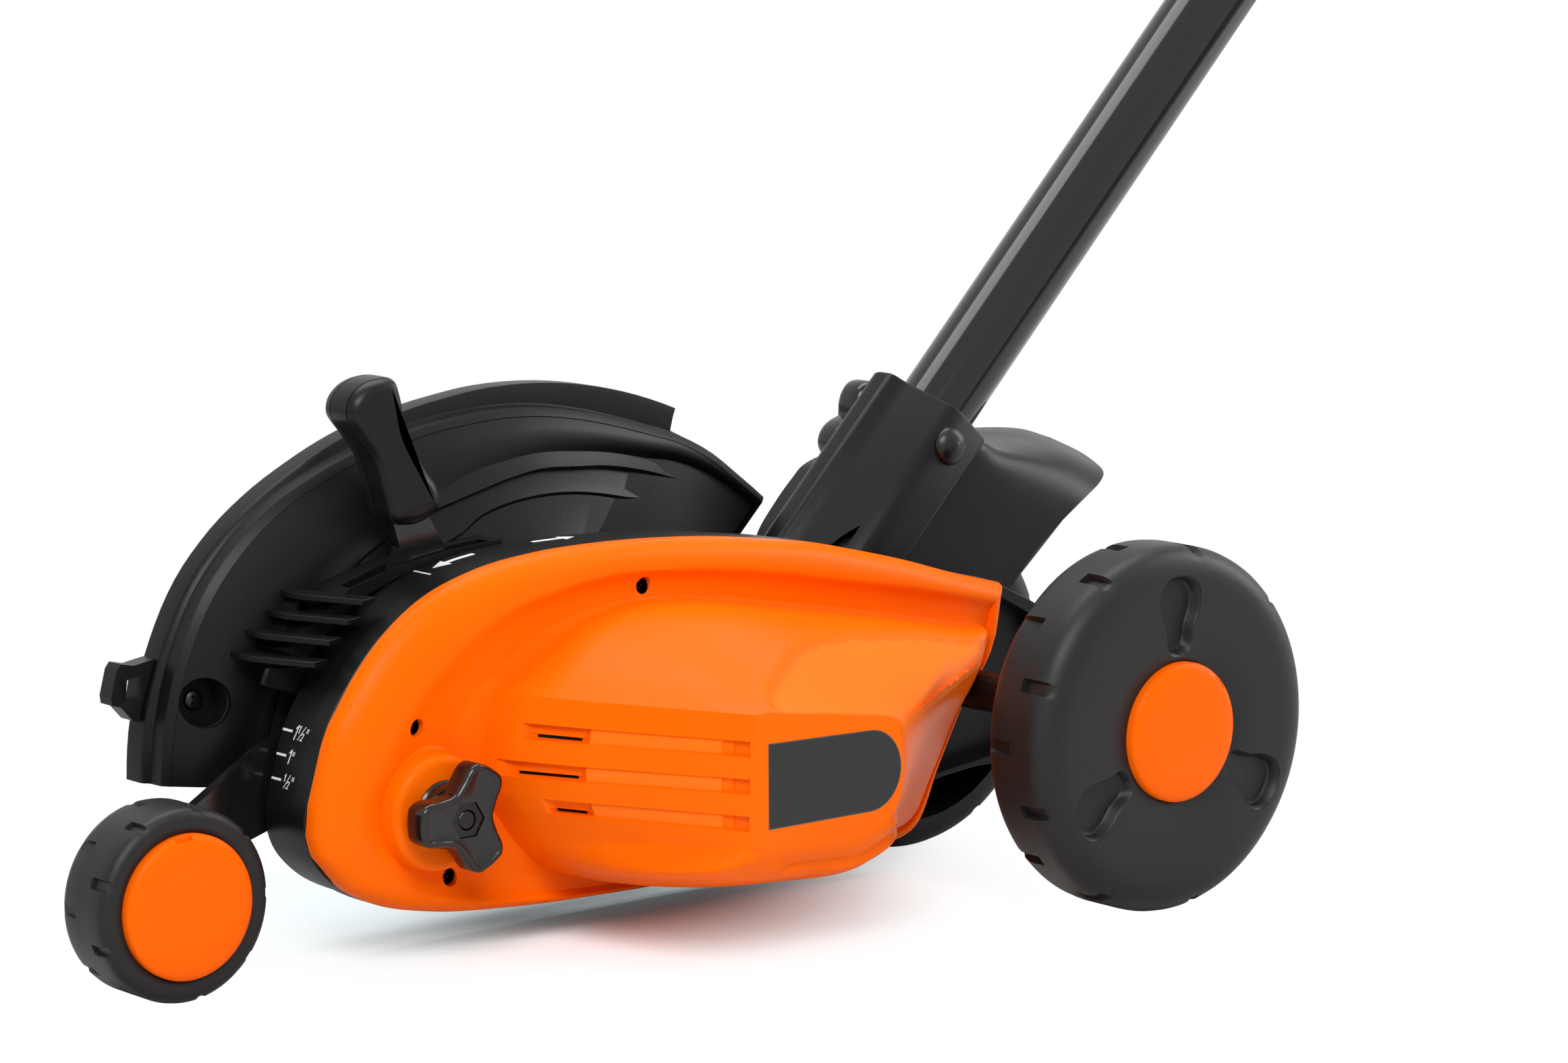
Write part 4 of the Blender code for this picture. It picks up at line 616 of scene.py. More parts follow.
def boss(name, x, z, profile, finish, count=64):
    """A turned boss or head along y: rows of radius and y."""
    return lofted(name, [ring((x, z), radius, y, count) for radius, y in profile], finish, 30)


knob_boss = boss("knob_boss", *PIVOT, [
    (19.4, 117.5), (21.2, 117.9), (22.4, 119.0), (23, 120.8), (23.1, 127.0), (23.8, 128.6), (25.4, 129.6),
    (23, 131.0)], ORANGE)
THROUGH_COVER = (100, 145)
COVER_SCREWS = [(-286, 95), (-270.5, 33.4), (-173, 138)]
holes = [round_bar(f"screw_hole_{number}", x, z, 3.6, 110, 134.6, ORANGE, 32)
         for number, (x, z) in enumerate(COVER_SCREWS)]
holes.append(round_bar("bolt_room", *PIVOT, 17, *THROUGH_COVER, ORANGE))
holes.append(round_bar("axle_notch", *AXLE, 9, 60, 145, ORANGE))
carved(cover, holes, solver="MANIFOLD", corner=30)
stands_for(cover, "frame", "orange_plastic", "motor_cover")
carved(knob_boss, [round_bar("bolt_hole", *PIVOT, 4.3, *THROUGH_COVER, ORANGE)])
stands_for(knob_boss, "frame", "orange_plastic")

# Cover screws
# Three black pan-head screws hold the cover to the housing, deep in their holes.
SCREW_BLACK = bare_metal("blackened_steel", (0.035, 0.035, 0.037), 0.34)
RECESS_TURN = 0.6


def screw(name, x, z, y, radius):
    """A pan-head screw with a cross recess, seen from the near side."""
    head = boss(name, x, z, [(0.001, y), (radius * 0.45, y - 0.02), (radius * 0.75, y + 0.25),
                             (radius * 0.95, y + 0.9), (radius, y + 1.6), (radius, y + 2.2)], SCREW_BLACK, 32)
    half, across = radius * 0.62, radius * 0.14
    corners = [(half, across), (-half, across), (-half, -across), (half, -across)]
    slots = [[placed((x, z), turn, *corner) for corner in corners]
             for turn in (RECESS_TURN, RECESS_TURN + math.pi / 2)]
    carved(head, [prism("cross_recess", slot, y - 0.6, y + 1.2, SCREW_BLACK) for slot in slots])
    return head


for number, (x, z) in enumerate(COVER_SCREWS):
    stands_for(screw(f"cover_screw_{number}", x, z, 132.4, 3.4), "frame", "steel")

# Rating label
# A satin black film label on the flat of the cover, round at its rear end. It is left bare.
LABEL_FILM = moulded_plastic("label_film", (0.012, 0.012, 0.0125), 0.3, 0.02, 0.35, 150.0)
LABEL_EDGE = moulded_plastic("label_edge", (0.075, 0.07, 0.065), 0.4, 0.02, 0.3)
LABEL_LEFT, LABEL_TOP_LEFT, LABEL_TOP_RIGHT, LABEL_FOOT = -196.6, 92.6, 91.3, 59.0
LABEL_ROUND_X = -145.2
LABEL_ROUND_STEPS = 24


def label_outline(margin):
    left, low = LABEL_LEFT + margin, LABEL_FOOT + margin
    top_left, top_right = LABEL_TOP_LEFT - margin, LABEL_TOP_RIGHT - margin
    middle_z, reach = (top_right + low) / 2, (top_right - low) / 2
    turns = [math.pi / 2 - math.pi * step / LABEL_ROUND_STEPS for step in range(LABEL_ROUND_STEPS + 1)]
    rounded_end = [(LABEL_ROUND_X + reach * 0.98 * math.cos(turn), middle_z + reach * math.sin(turn))
                   for turn in turns]
    return [(left, top_left)] + rounded_end + [(left, low)]


for name, margin, lift, finish in (("label_border", 0.0, 0.12, LABEL_EDGE),
                                   ("rating_label", 0.45, 0.22, LABEL_FILM)):
    stands_for(prism(name, label_outline(margin), FACE_Y - lift, FACE_Y, finish), "frame", "black_plastic")


# Depth lock knob
# A glossy black knob with three broad arms on a round neck, moulded round a hex nut that runs on the pivot
# bolt. A fine border runs round its face, just inside the edge.
KNOB_GLOSS = moulded_plastic("knob_gloss", (0.0065, 0.0062, 0.0062), 0.16, 0.02, 0.42)
KNOB_FACE, KNOB_BACK, KNOB_FOOT = 101.0, 112.4, 117.2
KNOB_ARM = [(19.4, -7.9), (21.3, -6.2), (22, -3), (22, 3), (21.3, 6.2), (19.4, 7.9), (11.6, 9.1), (6, 10.4),
            (2.1, 14.6)]
KNOB_TURNS = turns_of(180, -1)


def knob_loop(reaches):
    """A loop round the pivot, clockwise at the knob's turns, with a reach at each."""
    return [placed(PIVOT, turn, reach) for turn, reach in zip(KNOB_TURNS, reaches)]


def arm_loop(margin):
    """The knob's outline moved in from its edge by a margin, read at the knob's turns."""
    loop = [placed(PIVOT, math.radians(turn), reach, across) for turn in (60, -60, 180)
            for reach, across in reversed(KNOB_ARM)]
    loop = inset(smooth_loop(loop, spacing=0.8), margin) - np.array(PIVOT)
    turns = np.arctan2(loop[:, 1], loop[:, 0]) % (2 * math.pi)
    order = np.argsort(turns)
    wanted = np.array(KNOB_TURNS) % (2 * math.pi)
    reaches = np.hypot(loop[:, 0], loop[:, 1])
    return knob_loop(np.interp(wanted, turns[order], reaches[order], period=2 * math.pi))


def hex_loop(corner):
    return knob_loop([corner * math.cos(math.pi / 6) / math.cos(turn % (math.pi / 3) - math.pi / 6)
                      for turn in KNOB_TURNS])


def bore_loop(radius):
    return knob_loop([radius] * len(KNOB_TURNS))


POCKET_FLOOR = KNOB_FACE + 8.3
KNOB_BORE = 4.15
knob_rows = [flat_row(bore_loop(KNOB_BORE), POCKET_FLOOR), flat_row(hex_loop(7.8), POCKET_FLOOR),
             flat_row(hex_loop(7.8), KNOB_FACE + 0.7)]
knob_rows += [flat_row(arm_loop(margin), KNOB_FACE + depth) for margin, depth in (
    (2.7, 0.5), (2.5, 0.45), (2.3, 0.05), (2.1, 0), (1.4, 0), (0.75, 0.25), (0.25, 0.8), (0, 1.6),
    (0, 9.2), (0.2, 10.2), (0.7, 11.0), (1.5, 11.4))]
knob_rows += [flat_row(bore_loop(KNOB_BORE), KNOB_BACK), flat_row(bore_loop(KNOB_BORE), POCKET_FLOOR)]
knob = lofted("lock_knob_arms", knob_rows, KNOB_GLOSS, 50, ends=False)
neck = boss("lock_knob_neck", *PIVOT, [
    (12.6, KNOB_BACK - 2), (12.6, KNOB_FOOT - 1.5), (13.4, KNOB_FOOT - 0.6), (13.4, KNOB_FOOT)], KNOB_GLOSS)
carved(neck, [round_bar("neck_bore", *PIVOT, KNOB_BORE, 90, 130, SHADE_BLACK)])
stands_for(knob, "lock_knob", "black_plastic", "lock_knob")
stands_for(neck, "lock_knob", "black_plastic")
nodes["lock_nut"].data.materials[0] = SCREW_BLACK
softened(nodes["lock_nut"], 0.4)
nodes["lock_bolt"].data.materials[0] = SCREW_BLACK


# Rear wheels
# Hard black moulded wheels, 150 mm across: a tread notched in two staggered rows, a disc with three
# teardrop hollows round the hub, and an orange cap pressed over the axle nut. They turn on a plain axle.
WHEEL_BLACK = moulded_plastic("wheel_black", (0.0105, 0.0105, 0.0108), 0.44, 0.1, 0.25)
NOTCHES = 9
NOTCH_SPACING = 360 / NOTCHES
TREAD_STEP = 2.5
LEAST_STEP = 0.3


def turned_wheel(name, centre, profile, rows, notch_floor, half, edge):
    """A wheel turned from a closed profile of radius and y, its tread cut by staggered notches."""
    turns = {TREAD_STEP * step for step in range(round(360 / TREAD_STEP))}
    for number in range(2 * NOTCHES):
        middle = NOTCH_SPACING / 2 * number
        turns |= {(middle + offset) % 360 for offset in (-half - edge, -half, half, half + edge)}
    kept = []
    for turn in sorted(turns):
        if not kept or turn - kept[-1] > LEAST_STEP:
            kept.append(turn)
    found = []
    for turn in kept:
        found.append([])
        for radius, y in profile:
            reach = radius
            for row, (low, high) in enumerate(rows):
                away = abs((turn + NOTCH_SPACING / 2 * (1 - row)) % NOTCH_SPACING - NOTCH_SPACING / 2)
                if low < y < high and away < half + edge * 0.7:
                    reach = min(radius, notch_floor)
            x, z = placed(centre, math.radians(turn), reach)
            found[-1].append(at(x, y, z))
    return lofted(name, found + [found[0]], WHEEL_BLACK, 32, ends=False)


REAR_PROFILE = [
    (62, 16), (17, 16), (17, 39.5), (5.05, 39.5), (5.05, 10), (28.9, 10), (28.9, 1.2), (30.2, 0.7),
    (45, 0.25), (59, 0.05), (62, 0.1), (65.5, 0.5), (68.5, 1.4), (71, 2.8), (73, 4.8), (74.3, 7),
    (74.9, 9.4), (75, 12), (75, 17.3), (75, 17.7), (75, 19.8), (75, 20.2), (75, 27), (74.6, 30.2),
    (73.4, 33), (71.2, 35.3), (68.4, 36.8), (65, 37.4), (62, 37.5)]
REAR_NOTCH_ROWS = ((-1, 17.5), (20, 40))
TEARDROP = [(31, 0), (32.2, 4.4), (42, 7.4), (51, 10.6), (57.6, 10.4), (61.8, 6.6), (63.2, 0)]
TEARDROP_MIDDLE = np.array((50.0, 0.0))


def teardrops(outer, side):
    """Cutters for the three hollows: wide below the tread, narrow by the hub, with sloping walls."""
    curve = smooth_loop(TEARDROP + [(reach, -half) for reach, half in reversed(TEARDROP[1:-1])], spacing=2.0)
    tools = []
    for angle in (90, 210, 330):
        rows = []
        for depth, grow in ((-3, 1.09), (0.4, 1.05), (1.2, 0.98), (4.2, 0.9), (5.0, 0.82)):
            loop = TEARDROP_MIDDLE + (curve - TEARDROP_MIDDLE) * grow
            rows.append(flat_row([placed(AXLE, math.radians(angle), *point) for point in loop],
                                 outer + side * depth))
        tools.append(lofted("teardrop", rows, WHEEL_BLACK, 40))
    return tools


FAR_FACE = (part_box("rear_wheel_far")[1].y - STAND.y) / MM
REAR_WHEELS = (("near", 0.0, 1), ("far", FAR_FACE, -1))
for name, outer, side in REAR_WHEELS:
    profile = [(radius, outer + side * depth) for radius, depth in REAR_PROFILE]
    rows = [tuple(sorted((outer + side * low, outer + side * high))) for low, high in REAR_NOTCH_ROWS]
    wheel = turned_wheel(f"rear_wheel_{name}_tread", AXLE, profile, rows, 72.2, 1.7, 0.5)
    carved(wheel, teardrops(outer, side), corner=32)
    stands_for(wheel, f"{name}_wheel", "black_plastic", f"rear_wheel_{name}")

# Wheel caps
# Orange discs, slightly crowned, with a rounded edge and a small notch to prise them off.
CAP_CROWN = [(0.01, -4.0), (0.3, -4.0), (0.6, -3.9), (0.8, -3.7), (0.9, -3.35), (0.955, -2.7), (0.985, -1.9),
             (1.0, -0.9)]
NOTCH_HALF = (2.6, 3.6)


def wheel_cap(name, body, node, centre, outer, side, radius, skirt, notch_turn):
    """A cap whose crown stands out of the wheel's outer face; side is 1 near and -1 far."""
    profile = [(radius * share, depth) for share, depth in CAP_CROWN]
    profile += [(radius, skirt), (radius - 2, skirt), (radius - 2, 0), (0.3, -1)]
    cap = boss(name, *centre, [(reach, outer + side * depth) for reach, depth in profile], CAP_ORANGE, 96)
    half, across = NOTCH_HALF
    corners = [(radius + 0.4 + along, aside) for along, aside in
               ((-half, -across), (half, -across), (half, across), (-half, across))]
    notch = [placed(centre, math.radians(notch_turn), *corner) for corner in corners]
    carved(cap, [prism("prise_notch", notch, outer - side * 6, outer - side * 1.4, SHADE_BLACK)])
    stands_for(cap, body, "orange_plastic", node)


REAR_CAP, FRONT_CAP = 28.6, 28.2
for name, outer, side in REAR_WHEELS:
    wheel_cap(f"rear_cap_{name}_disc", f"{name}_wheel", f"rear_cap_{name}", AXLE, outer, side, REAR_CAP,
              skirt=8.5, notch_turn=44)

# Front wheel
# A smaller wheel of the same black plastic on its own bolt, carried by the depth lever.
front_low, front_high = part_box("front_wheel")
FRONT_AXLE = (((front_low.x + front_high.x) / 2 - STAND.x) / MM, (front_low.z + front_high.z) / MM / 2)
FRONT_FACE = (front_low.y - STAND.y) / MM
FRONT_PROFILE = [
    (4.05, 7.5), (28.5, 7.5), (28.5, 1.2), (29.2, 0.6), (31.5, 0.1), (33.4, 0.05), (35, 0.5), (36.4, 1.5),
    (37.3, 2.9), (37.6, 4.4), (37.6, 10.8), (37.6, 11.2), (37.6, 19.2), (37.6, 19.7), (37.6, 25.6),
    (37.1, 27.8), (36, 29.4), (34.1, 30.3), (32, 30.4), (24, 30.4), (22, 24), (14, 24), (12, 30.4),
    (4.05, 30.4)]
front_profile = [(radius, FRONT_FACE + depth) for radius, depth in FRONT_PROFILE]
front_rows = [(FRONT_FACE - 1, FRONT_FACE + 11), (FRONT_FACE + 19.5, FRONT_FACE + 33)]
front_wheel = turned_wheel("front_wheel_tread", FRONT_AXLE, front_profile, front_rows, 36.0, 2.6, 0.8)
stands_for(front_wheel, "front_wheel", "black_plastic", "front_wheel")
wheel_cap("front_cap_disc", "front_wheel", "front_cap", FRONT_AXLE, FRONT_FACE, 1, FRONT_CAP,
          skirt=6.5, notch_turn=96)


# Depth plate and lever
# A pressed steel plate, painted black, carries the front wheel and the grip. A soft black grip with two
# mould seams is pushed over its upper end.
softened(nodes["depth_plate"], 0.5)
GRIP = [
    (-290.4, 214), (-289.5, 218.5), (-285, 223.5), (-276, 226.5), (-267.5, 225.5), (-264.8, 219),
    (-262.8, 207), (-254, 190), (-247.5, 180.5), (-246.8, 174), (-251.5, 169.5), (-261, 167),
    (-268.5, 169), (-272.5, 180), (-277.5, 195), (-284, 204)]
grip_outline = smooth_loop(GRIP, spacing=1.5)
GRIP_ROUNDS = (
    (161.0, 5.4), (161.25, 4.0), (161.9, 2.7), (162.9, 1.6), (164.2, 0.8), (165.3, 0.4), (165.45, 0.75),
    (165.75, 0.75), (165.9, 0.25), (168, 0), (175.9, 0), (176.05, 0.35), (176.35, 0.35), (176.5, 0),
    (178.6, 0.2), (180.4, 0.9), (181.8, 1.9), (182.8, 3.4), (183.2, 5.0))
grip_rows = [flat_row(inset(grip_outline, margin), y) for y, margin in GRIP_ROUNDS]
grip = lofted("depth_lever_grip_moulded", grip_rows, GRIP_BLACK, 38)
PLATE_NEAR, PLATE_FAR = 170.2, 175.2
GRIP_SLOT = [(-277, 201.5), (-267.6, 204.2), (-255.2, 180), (-250.6, 172.6), (-246, 166), (-239, 154),
             (-263, 154), (-267.2, 172)]
plate_room = prism("plate_slot", GRIP_SLOT, PLATE_NEAR - 0.3, PLATE_FAR + 0.3, SHADE_BLACK)
carved(grip, [plate_room], solver="MANIFOLD", corner=38)
stands_for(grip, "depth_lever", "soft_grip", "depth_lever_grip")

# Louvred deck
# A black moulding closes the gap between the drum and the guard. The depth plate comes up through its slot,
# and four level fins under its front let cooling air in.
GUARD_CENTRE = (-204, 57)
GUARD_WALL_Y, GUARD_WALL_RADIUS, CONE_SLOPE = 177, 82, 0.33


def cone(radius):
    """y of the guard's near face at a radius, without its ridges."""
    return GUARD_WALL_Y + CONE_SLOPE * (radius - GUARD_WALL_RADIUS)


def guard_y(x, z, lift=0.0):
    return cone(math.hypot(x - GUARD_CENTRE[0], z - GUARD_CENTRE[1])) + lift


DECK = [(-318, 123), (-304, 134), (-288, 144.5), (-266, 151), (-241, 154.5), (-222, 156), (-214, 156.4)]
DECK_FOOT = [(-310, 118), (-299, 129), (-285, 139.5), (-265, 146.5), (-240, 150), (-222, 151.5),
             (-214, 151.9)]
DECK_NEAR, DECK_SEAT = HOUSING_FAR + 0.2, 0.6
deck_rows = []
for high, low in zip(DECK, DECK_FOOT):
    places = [(*high, DECK_NEAR), (*high, guard_y(*high, DECK_SEAT)), (*low, guard_y(*low, DECK_SEAT)),
              (*low, DECK_NEAR)]
    deck_rows.append([at(x, y, z) for x, z, y in places])
deck = lofted("louvre_deck", deck_rows, BLACK, 30)
SLOT = [(-292, 160), (-219.5, 170), (-219.5, 130), (-283, 130)]
carved(deck, [prism("lever_slot", SLOT, PLATE_NEAR - 1, PLATE_FAR + 1, SHADE_BLACK)], corner=30)
stands_for(deck, "frame", "black_plastic", "front_grille")
FIN = [(3.7, 150.3), (-7, 177.9), (-7.2, 195.5), (1.6, 195.5), (2, 181), (12.4, 153.6)]
FIN_HALF = 1.2
for number, (x, z) in enumerate(((-298.5, 142), (-305.5, 135), (-314.5, 128), (-321.5, 120.2))):
    fin = lofted(f"louvre_fin_{number}", [[at(x + along, y, height) for along, y in FIN]
                                          for height in (z - FIN_HALF, z + FIN_HALF)], BLACK, 25)
    softened(fin, 0.35, 25)
    stands_for(fin, "frame", "black_plastic")
RIB_NEAR, RIB_FAR, RIB_WIDTH = 181, 190, 1.6
for number, (x, z_low, z_high) in enumerate(((-304, 119, 143), (-289, 126, 143))):
    rib = lofted(f"louvre_rib_{number}", [
        [at(left, RIB_NEAR, z), at(left + RIB_WIDTH, RIB_NEAR, z), at(left + RIB_WIDTH, RIB_FAR, z),
         at(left, RIB_FAR, z)] for left, z in ((x - 13, z_low), (x + 3, z_high))], BLACK, 25)
    stands_for(rib, "frame", "black_plastic")
APRON = [(-326, 117.5), (-328.7, 111.2), (-308, 103.5), (-300, 115)]
apron = prism("louvre_apron", APRON, 169.6, 172, BLACK, 25)
softened(apron, 0.5, 25)
stands_for(apron, "frame", "black_plastic")


# Blade guard
# A black moulding that fans out round the blade: a flat wall screwed to the housing, a cone with two ridges
# behind the lever, a domed brim, and a lip set back round the edge. It stops short at the rear top.
# Each row is an angle, then the radii of the wall, of the two ridges' feet, of the ridge, crease and rim.
GUARD_ROWS = [
    (175, 82, 101, 115, 121, 153.5, 157.0), (166, 82, 101, 115, 121, 155.0, 158.7),
    (157, 82, 101, 115, 121, 156.4, 159.3), (147, 82, 101, 115, 121, 157.4, 160.0),
    (138, 82, 101, 115, 121, 156.0, 158.5), (129, 82, 101, 115, 121, 153.3, 155.8),
    (120, 82, 101, 115, 121, 149.6, 153.2), (111, 82, 101, 115, 121, 147.0, 152.0),
    (102, 82, 102, 115, 121, 145.3, 151.3), (94, 82, 107, 116.5, 124, 145.4, 152.2),
    (86, 83, 110.5, 120, 127, 146.8, 154.8), (78, 85, 114, 124.5, 131, 149.0, 158.2),
    (70, 88, 118, 128.5, 135, 151.8, 162.6), (63, 91, 122, 134, 140, 155.2, 167.2),
    (56, 95, 127, 140, 146, 160.0, 172.6), (51, 98, 133, 145, 151.5, 165.0, 177.0),
    (50, 99, 134, 146, 153, 166.0, 168.0), (44, 103, 140, 153, 160, 171.0, 172.5),
    (38, 107, 147, 160, 167, 175.0, 176.5), (32.5, 111, 153, 166, 172, 180.0, 181.0)]
HUB_RADIUS = 36
DOME_Y, GUARD_FAR_Y = 197.6, 219


def guard_section(angle, wall, rib, step, ridge, crease, rim):
    """The guard's section at an angle, from the hub's near side round the lip and back on the far side."""
    rise = ramp(angle, 127, 113)
    lip = max(rim - crease - 1.6, 0.2)
    near = [(HUB_RADIUS, GUARD_WALL_Y), (wall - 3, GUARD_WALL_Y), (wall, GUARD_WALL_Y + 0.3),
            (wall + 3, cone(wall + 3)), (rib - 0.8, cone(rib - 0.8)), (rib - 0.2, cone(rib) - 0.8 * rise),
            (rib + 0.6, cone(rib) - rise), (rib + 4, cone(rib + 4) - 0.2 * rise),
            (step - 2.2, cone(step - 2.2)), (step - 1.2, cone(step) - 0.3),
            (step - 0.4, cone(step) - 1.7 * rise - 0.4), (step + 0.6, cone(step) - 2.2 * rise - 0.4),
            (step + 3, cone(step + 3) - 1.2 * rise - 0.5)]
    for share in (0.0, 0.12, 0.25, 0.4, 0.55, 0.7, 0.85, 1.0):
        near.append((ridge + (crease - 3.6 - ridge) * share,
                     (cone(ridge) - 0.6) * (1 - share) + DOME_Y * share - 2.2 * math.sin(math.pi * share)))
    near += [(crease - 3.3, 197.4), (crease - 0.5, 199.4), (crease, 200.0), (crease + 0.5, 206.4),
             (crease + 1.2, 207), (crease + 1.2 + 0.75 * lip, 207.7), (rim - 0.15, 208.6), (rim, 209.4),
             (rim, GUARD_FAR_Y)]
    far = [(rim - 3, GUARD_FAR_Y), (crease - 1.2, 209), (crease - 2.4, 202.4), (wall + 1, 180.2),
           (HUB_RADIUS, 180)]
    places = [(*placed(GUARD_CENTRE, math.radians(angle), radius), y) for radius, y in near + far]
    return [at(x, y, z) for x, z, y in places]


guard_rows = []
for table, sections in ((GUARD_ROWS[:16], 56), (GUARD_ROWS[16:], 9)):
    angles, *columns = np.array(table[::-1]).T
    for angle in np.linspace(angles[-1], angles[0], sections):
        guard_rows.append(guard_section(angle, *[eased(angle, angles, column) for column in columns]))
guard = lofted("blade_guard_moulded", guard_rows, BLACK, 28)
POCKET_AT, POCKET_REACH = (-339.5, 102), 9.5
pocket_room = round_bar("screw_pocket", *POCKET_AT, POCKET_REACH + 0.4, 172, 214, SHADE_BLACK)
carved(guard, [pocket_room], solver="MANIFOLD", corner=28)
stands_for(guard, "frame", "black_plastic", "blade_guard")


def pocket_row(reach, depth, flat=None):
    """A ring of the screw's pocket: at a depth in the guard's sloping face, or at a flat place along y."""
    loop = [placed(POCKET_AT, turn, reach) for turn in turns_of(64)]
    return [at(x, guard_y(x, z, depth - 1.6) if flat is None else flat, z) for x, z in loop]


pocket = lofted("guard_screw_pocket", [
    pocket_row(11.2, 1.6), pocket_row(10.9, 0.5), pocket_row(10.3, -0.1), pocket_row(9.8, 0.2),
    pocket_row(9.5, 1.0), pocket_row(9.2, 0, 203), pocket_row(0.01, 0, 203), pocket_row(0.01, 0, 204.5),
    pocket_row(10.4, 0, 204.5), pocket_row(11.2, 3), pocket_row(11.2, 1.6)], BLACK, 30, ends=False)
stands_for(pocket, "frame", "black_plastic")
stands_for(screw("guard_screw", *POCKET_AT, 200.6, 4.2), "frame", "steel")

# Guard clip
# A small black loop stands off the guard's front edge, moulded with it. What it holds isn't seen.
CLIP = [(-371.6, 102.5), (-372.1, 105.7), (-369.3, 116.1), (-367.4, 118.5), (-361.3, 117.2), (-351.6, 118.7),
        (-357.2, 103), (-359.4, 94.5), (-362.5, 95.5), (-367.9, 101.5)]
CLIP_HOLE = [(-365.4, 104.9), (-364.5, 111.7), (-358.2, 113.3), (-360.2, 103.6)]
clip = prism("guard_clip", CLIP, 210, 218.5, BLACK, 25)
carved(clip, [prism("clip_hole", CLIP_HOLE, 205, 224, SHADE_BLACK)], corner=25)
softened(clip, 0.6, 25)
stands_for(clip, "frame", "black_plastic")

# Edge blade
# A flat steel bar with ground ends, clamped on the spindle behind the guard's wall.
softened(nodes["blade"], 0.4, 30)


# Handle socket
# A thick black socket moulded for the tube, with softly rounded edges. A black carriage bolt goes through it
# and the tube, and a four-winged knob on the far side draws it tight.
TUBE_LEAN = math.radians(45.9)
TUBE_FOOT = (25.7, 174, REAR_RADIUS + 116.2)


def along_tube(station, front=0.0):
    """A place beside the handle tube in x and z, in millimetres along it and towards its front."""
    return placed((TUBE_FOOT[0], TUBE_FOOT[2]), TUBE_LEAN, station, front)


def by_tube(station, front=0.0, across=0.0):
    """The same place in the frame, across the machine from the tube's axis."""
    x, z = along_tube(station, front)
    return at(x, TUBE_FOOT[1] + across, z)


def tube_ring(station, radius):
    return [by_tube(station, radius * math.cos(turn), radius * math.sin(turn)) for turn in turns_of(96)]


SOCKET_SECTION = [(-13.4, -24), (7.6, -24), (23, -1), (28, 3), (28, 13), (18, 24), (-13.4, 24), (-22, 14),
                  (-24, 0), (-22, -14)]
SOCKET_ROUNDS = [1.0, 6.0, 3.0, 2.0, 3.0, 4.0, 3.0, 3.0, 4.0, 3.0]


def rounded(loop, reaches):
    """The loop with each corner cut back by its reach and rounded."""
    loop = np.array(loop, dtype=float)
    found = []
    neighbours = np.stack((np.roll(loop, 1, axis=0), np.roll(loop, -1, axis=0)), axis=1)
    for corner, beside, reach in zip(loop, neighbours, reaches):
        start, end = (corner + (other - corner) / np.linalg.norm(other - corner) * reach for other in beside)
        for t in (0, 0.2, 0.4, 0.6, 0.8, 1):
            found.append(start * (1 - t) ** 2 + corner * 2 * t * (1 - t) + end * t * t)
    return found


SOCKET_FOOT = -86
SOCKET_HALF = 24
FOOT_SLOPE, FOOT_FRONT = 0.714, 13.4
socket_rows = []
for station, margin in ((-8, 1.2), (-8.3, 0.5), (-9.2, 0), (SOCKET_FOOT, 0)):
    reach = 1 - margin / SOCKET_HALF
    slope = FOOT_SLOPE if station == SOCKET_FOOT else 0
    socket_rows.append([by_tube(station - slope * (front + FOOT_FRONT), front * reach, across * reach)
                        for front, across in rounded(SOCKET_SECTION, SOCKET_ROUNDS)])
socket = lofted("tube_socket_moulded", socket_rows, BLACK, 32)
bore = lofted("tube_bore", [tube_ring(-37, 17.2), tube_ring(10, 17.2)], SHADE_BLACK)
carved(socket, [bore], solver="MANIFOLD", corner=32)
carved(socket, [prism("housing_seat", drum_end, 100, 260, BLACK)], corner=32)
carved(socket, [round_bar("wheel_room", *AXLE, WHEEL_ROOM, REAR_WALL + 0.1, 260, BLACK, 96)], corner=32)
stands_for(socket, "frame", "black_plastic", "tube_socket")
BOLT_AT = along_tube(-22.8)
carriage_bolt = boss("carriage_bolt", *BOLT_AT, [
    (0.01, 146.1), (1.6, 146.15), (1.9, 146.3), (3.2, 146.5), (5.2, 147.1), (6.8, 148.1), (7.9, 149.3),
    (8.3, 150.4), (8.2, 150.9), (3, 150.9), (3, 213.4), (0.01, 213.4)], SCREW_BLACK)
stands_for(carriage_bolt, "frame", "zinc_steel", "socket_bolt")
WING_HUB, WING_REACH, WING_TURN = 14.5, 9, 0.14


def wing_row(y, margin):
    """A ring of the four-winged knob, moved in from its edge by a margin."""
    return flat_row([placed(BOLT_AT, turn + WING_TURN,
                            WING_HUB + WING_REACH * abs(math.cos(2 * turn)) ** 1.4 - margin)
                     for turn in turns_of(120, -1)], y)


wing_knob = lofted("socket_knob_wings", [wing_row(y, margin) for y, margin in (
    (198.4, 3.0), (198.9, 1.4), (200, 0.4), (201.6, 0), (208.6, 0), (210.4, 0.4), (211.5, 1.4), (212, 3.0))],
    KNOB_GLOSS, 40)
carved(wing_knob, [round_bar("wing_bore", *BOLT_AT, 3.06, 190, 220, SHADE_BLACK)], corner=40)
stands_for(wing_knob, "socket_knob", "black_plastic", "socket_knob")

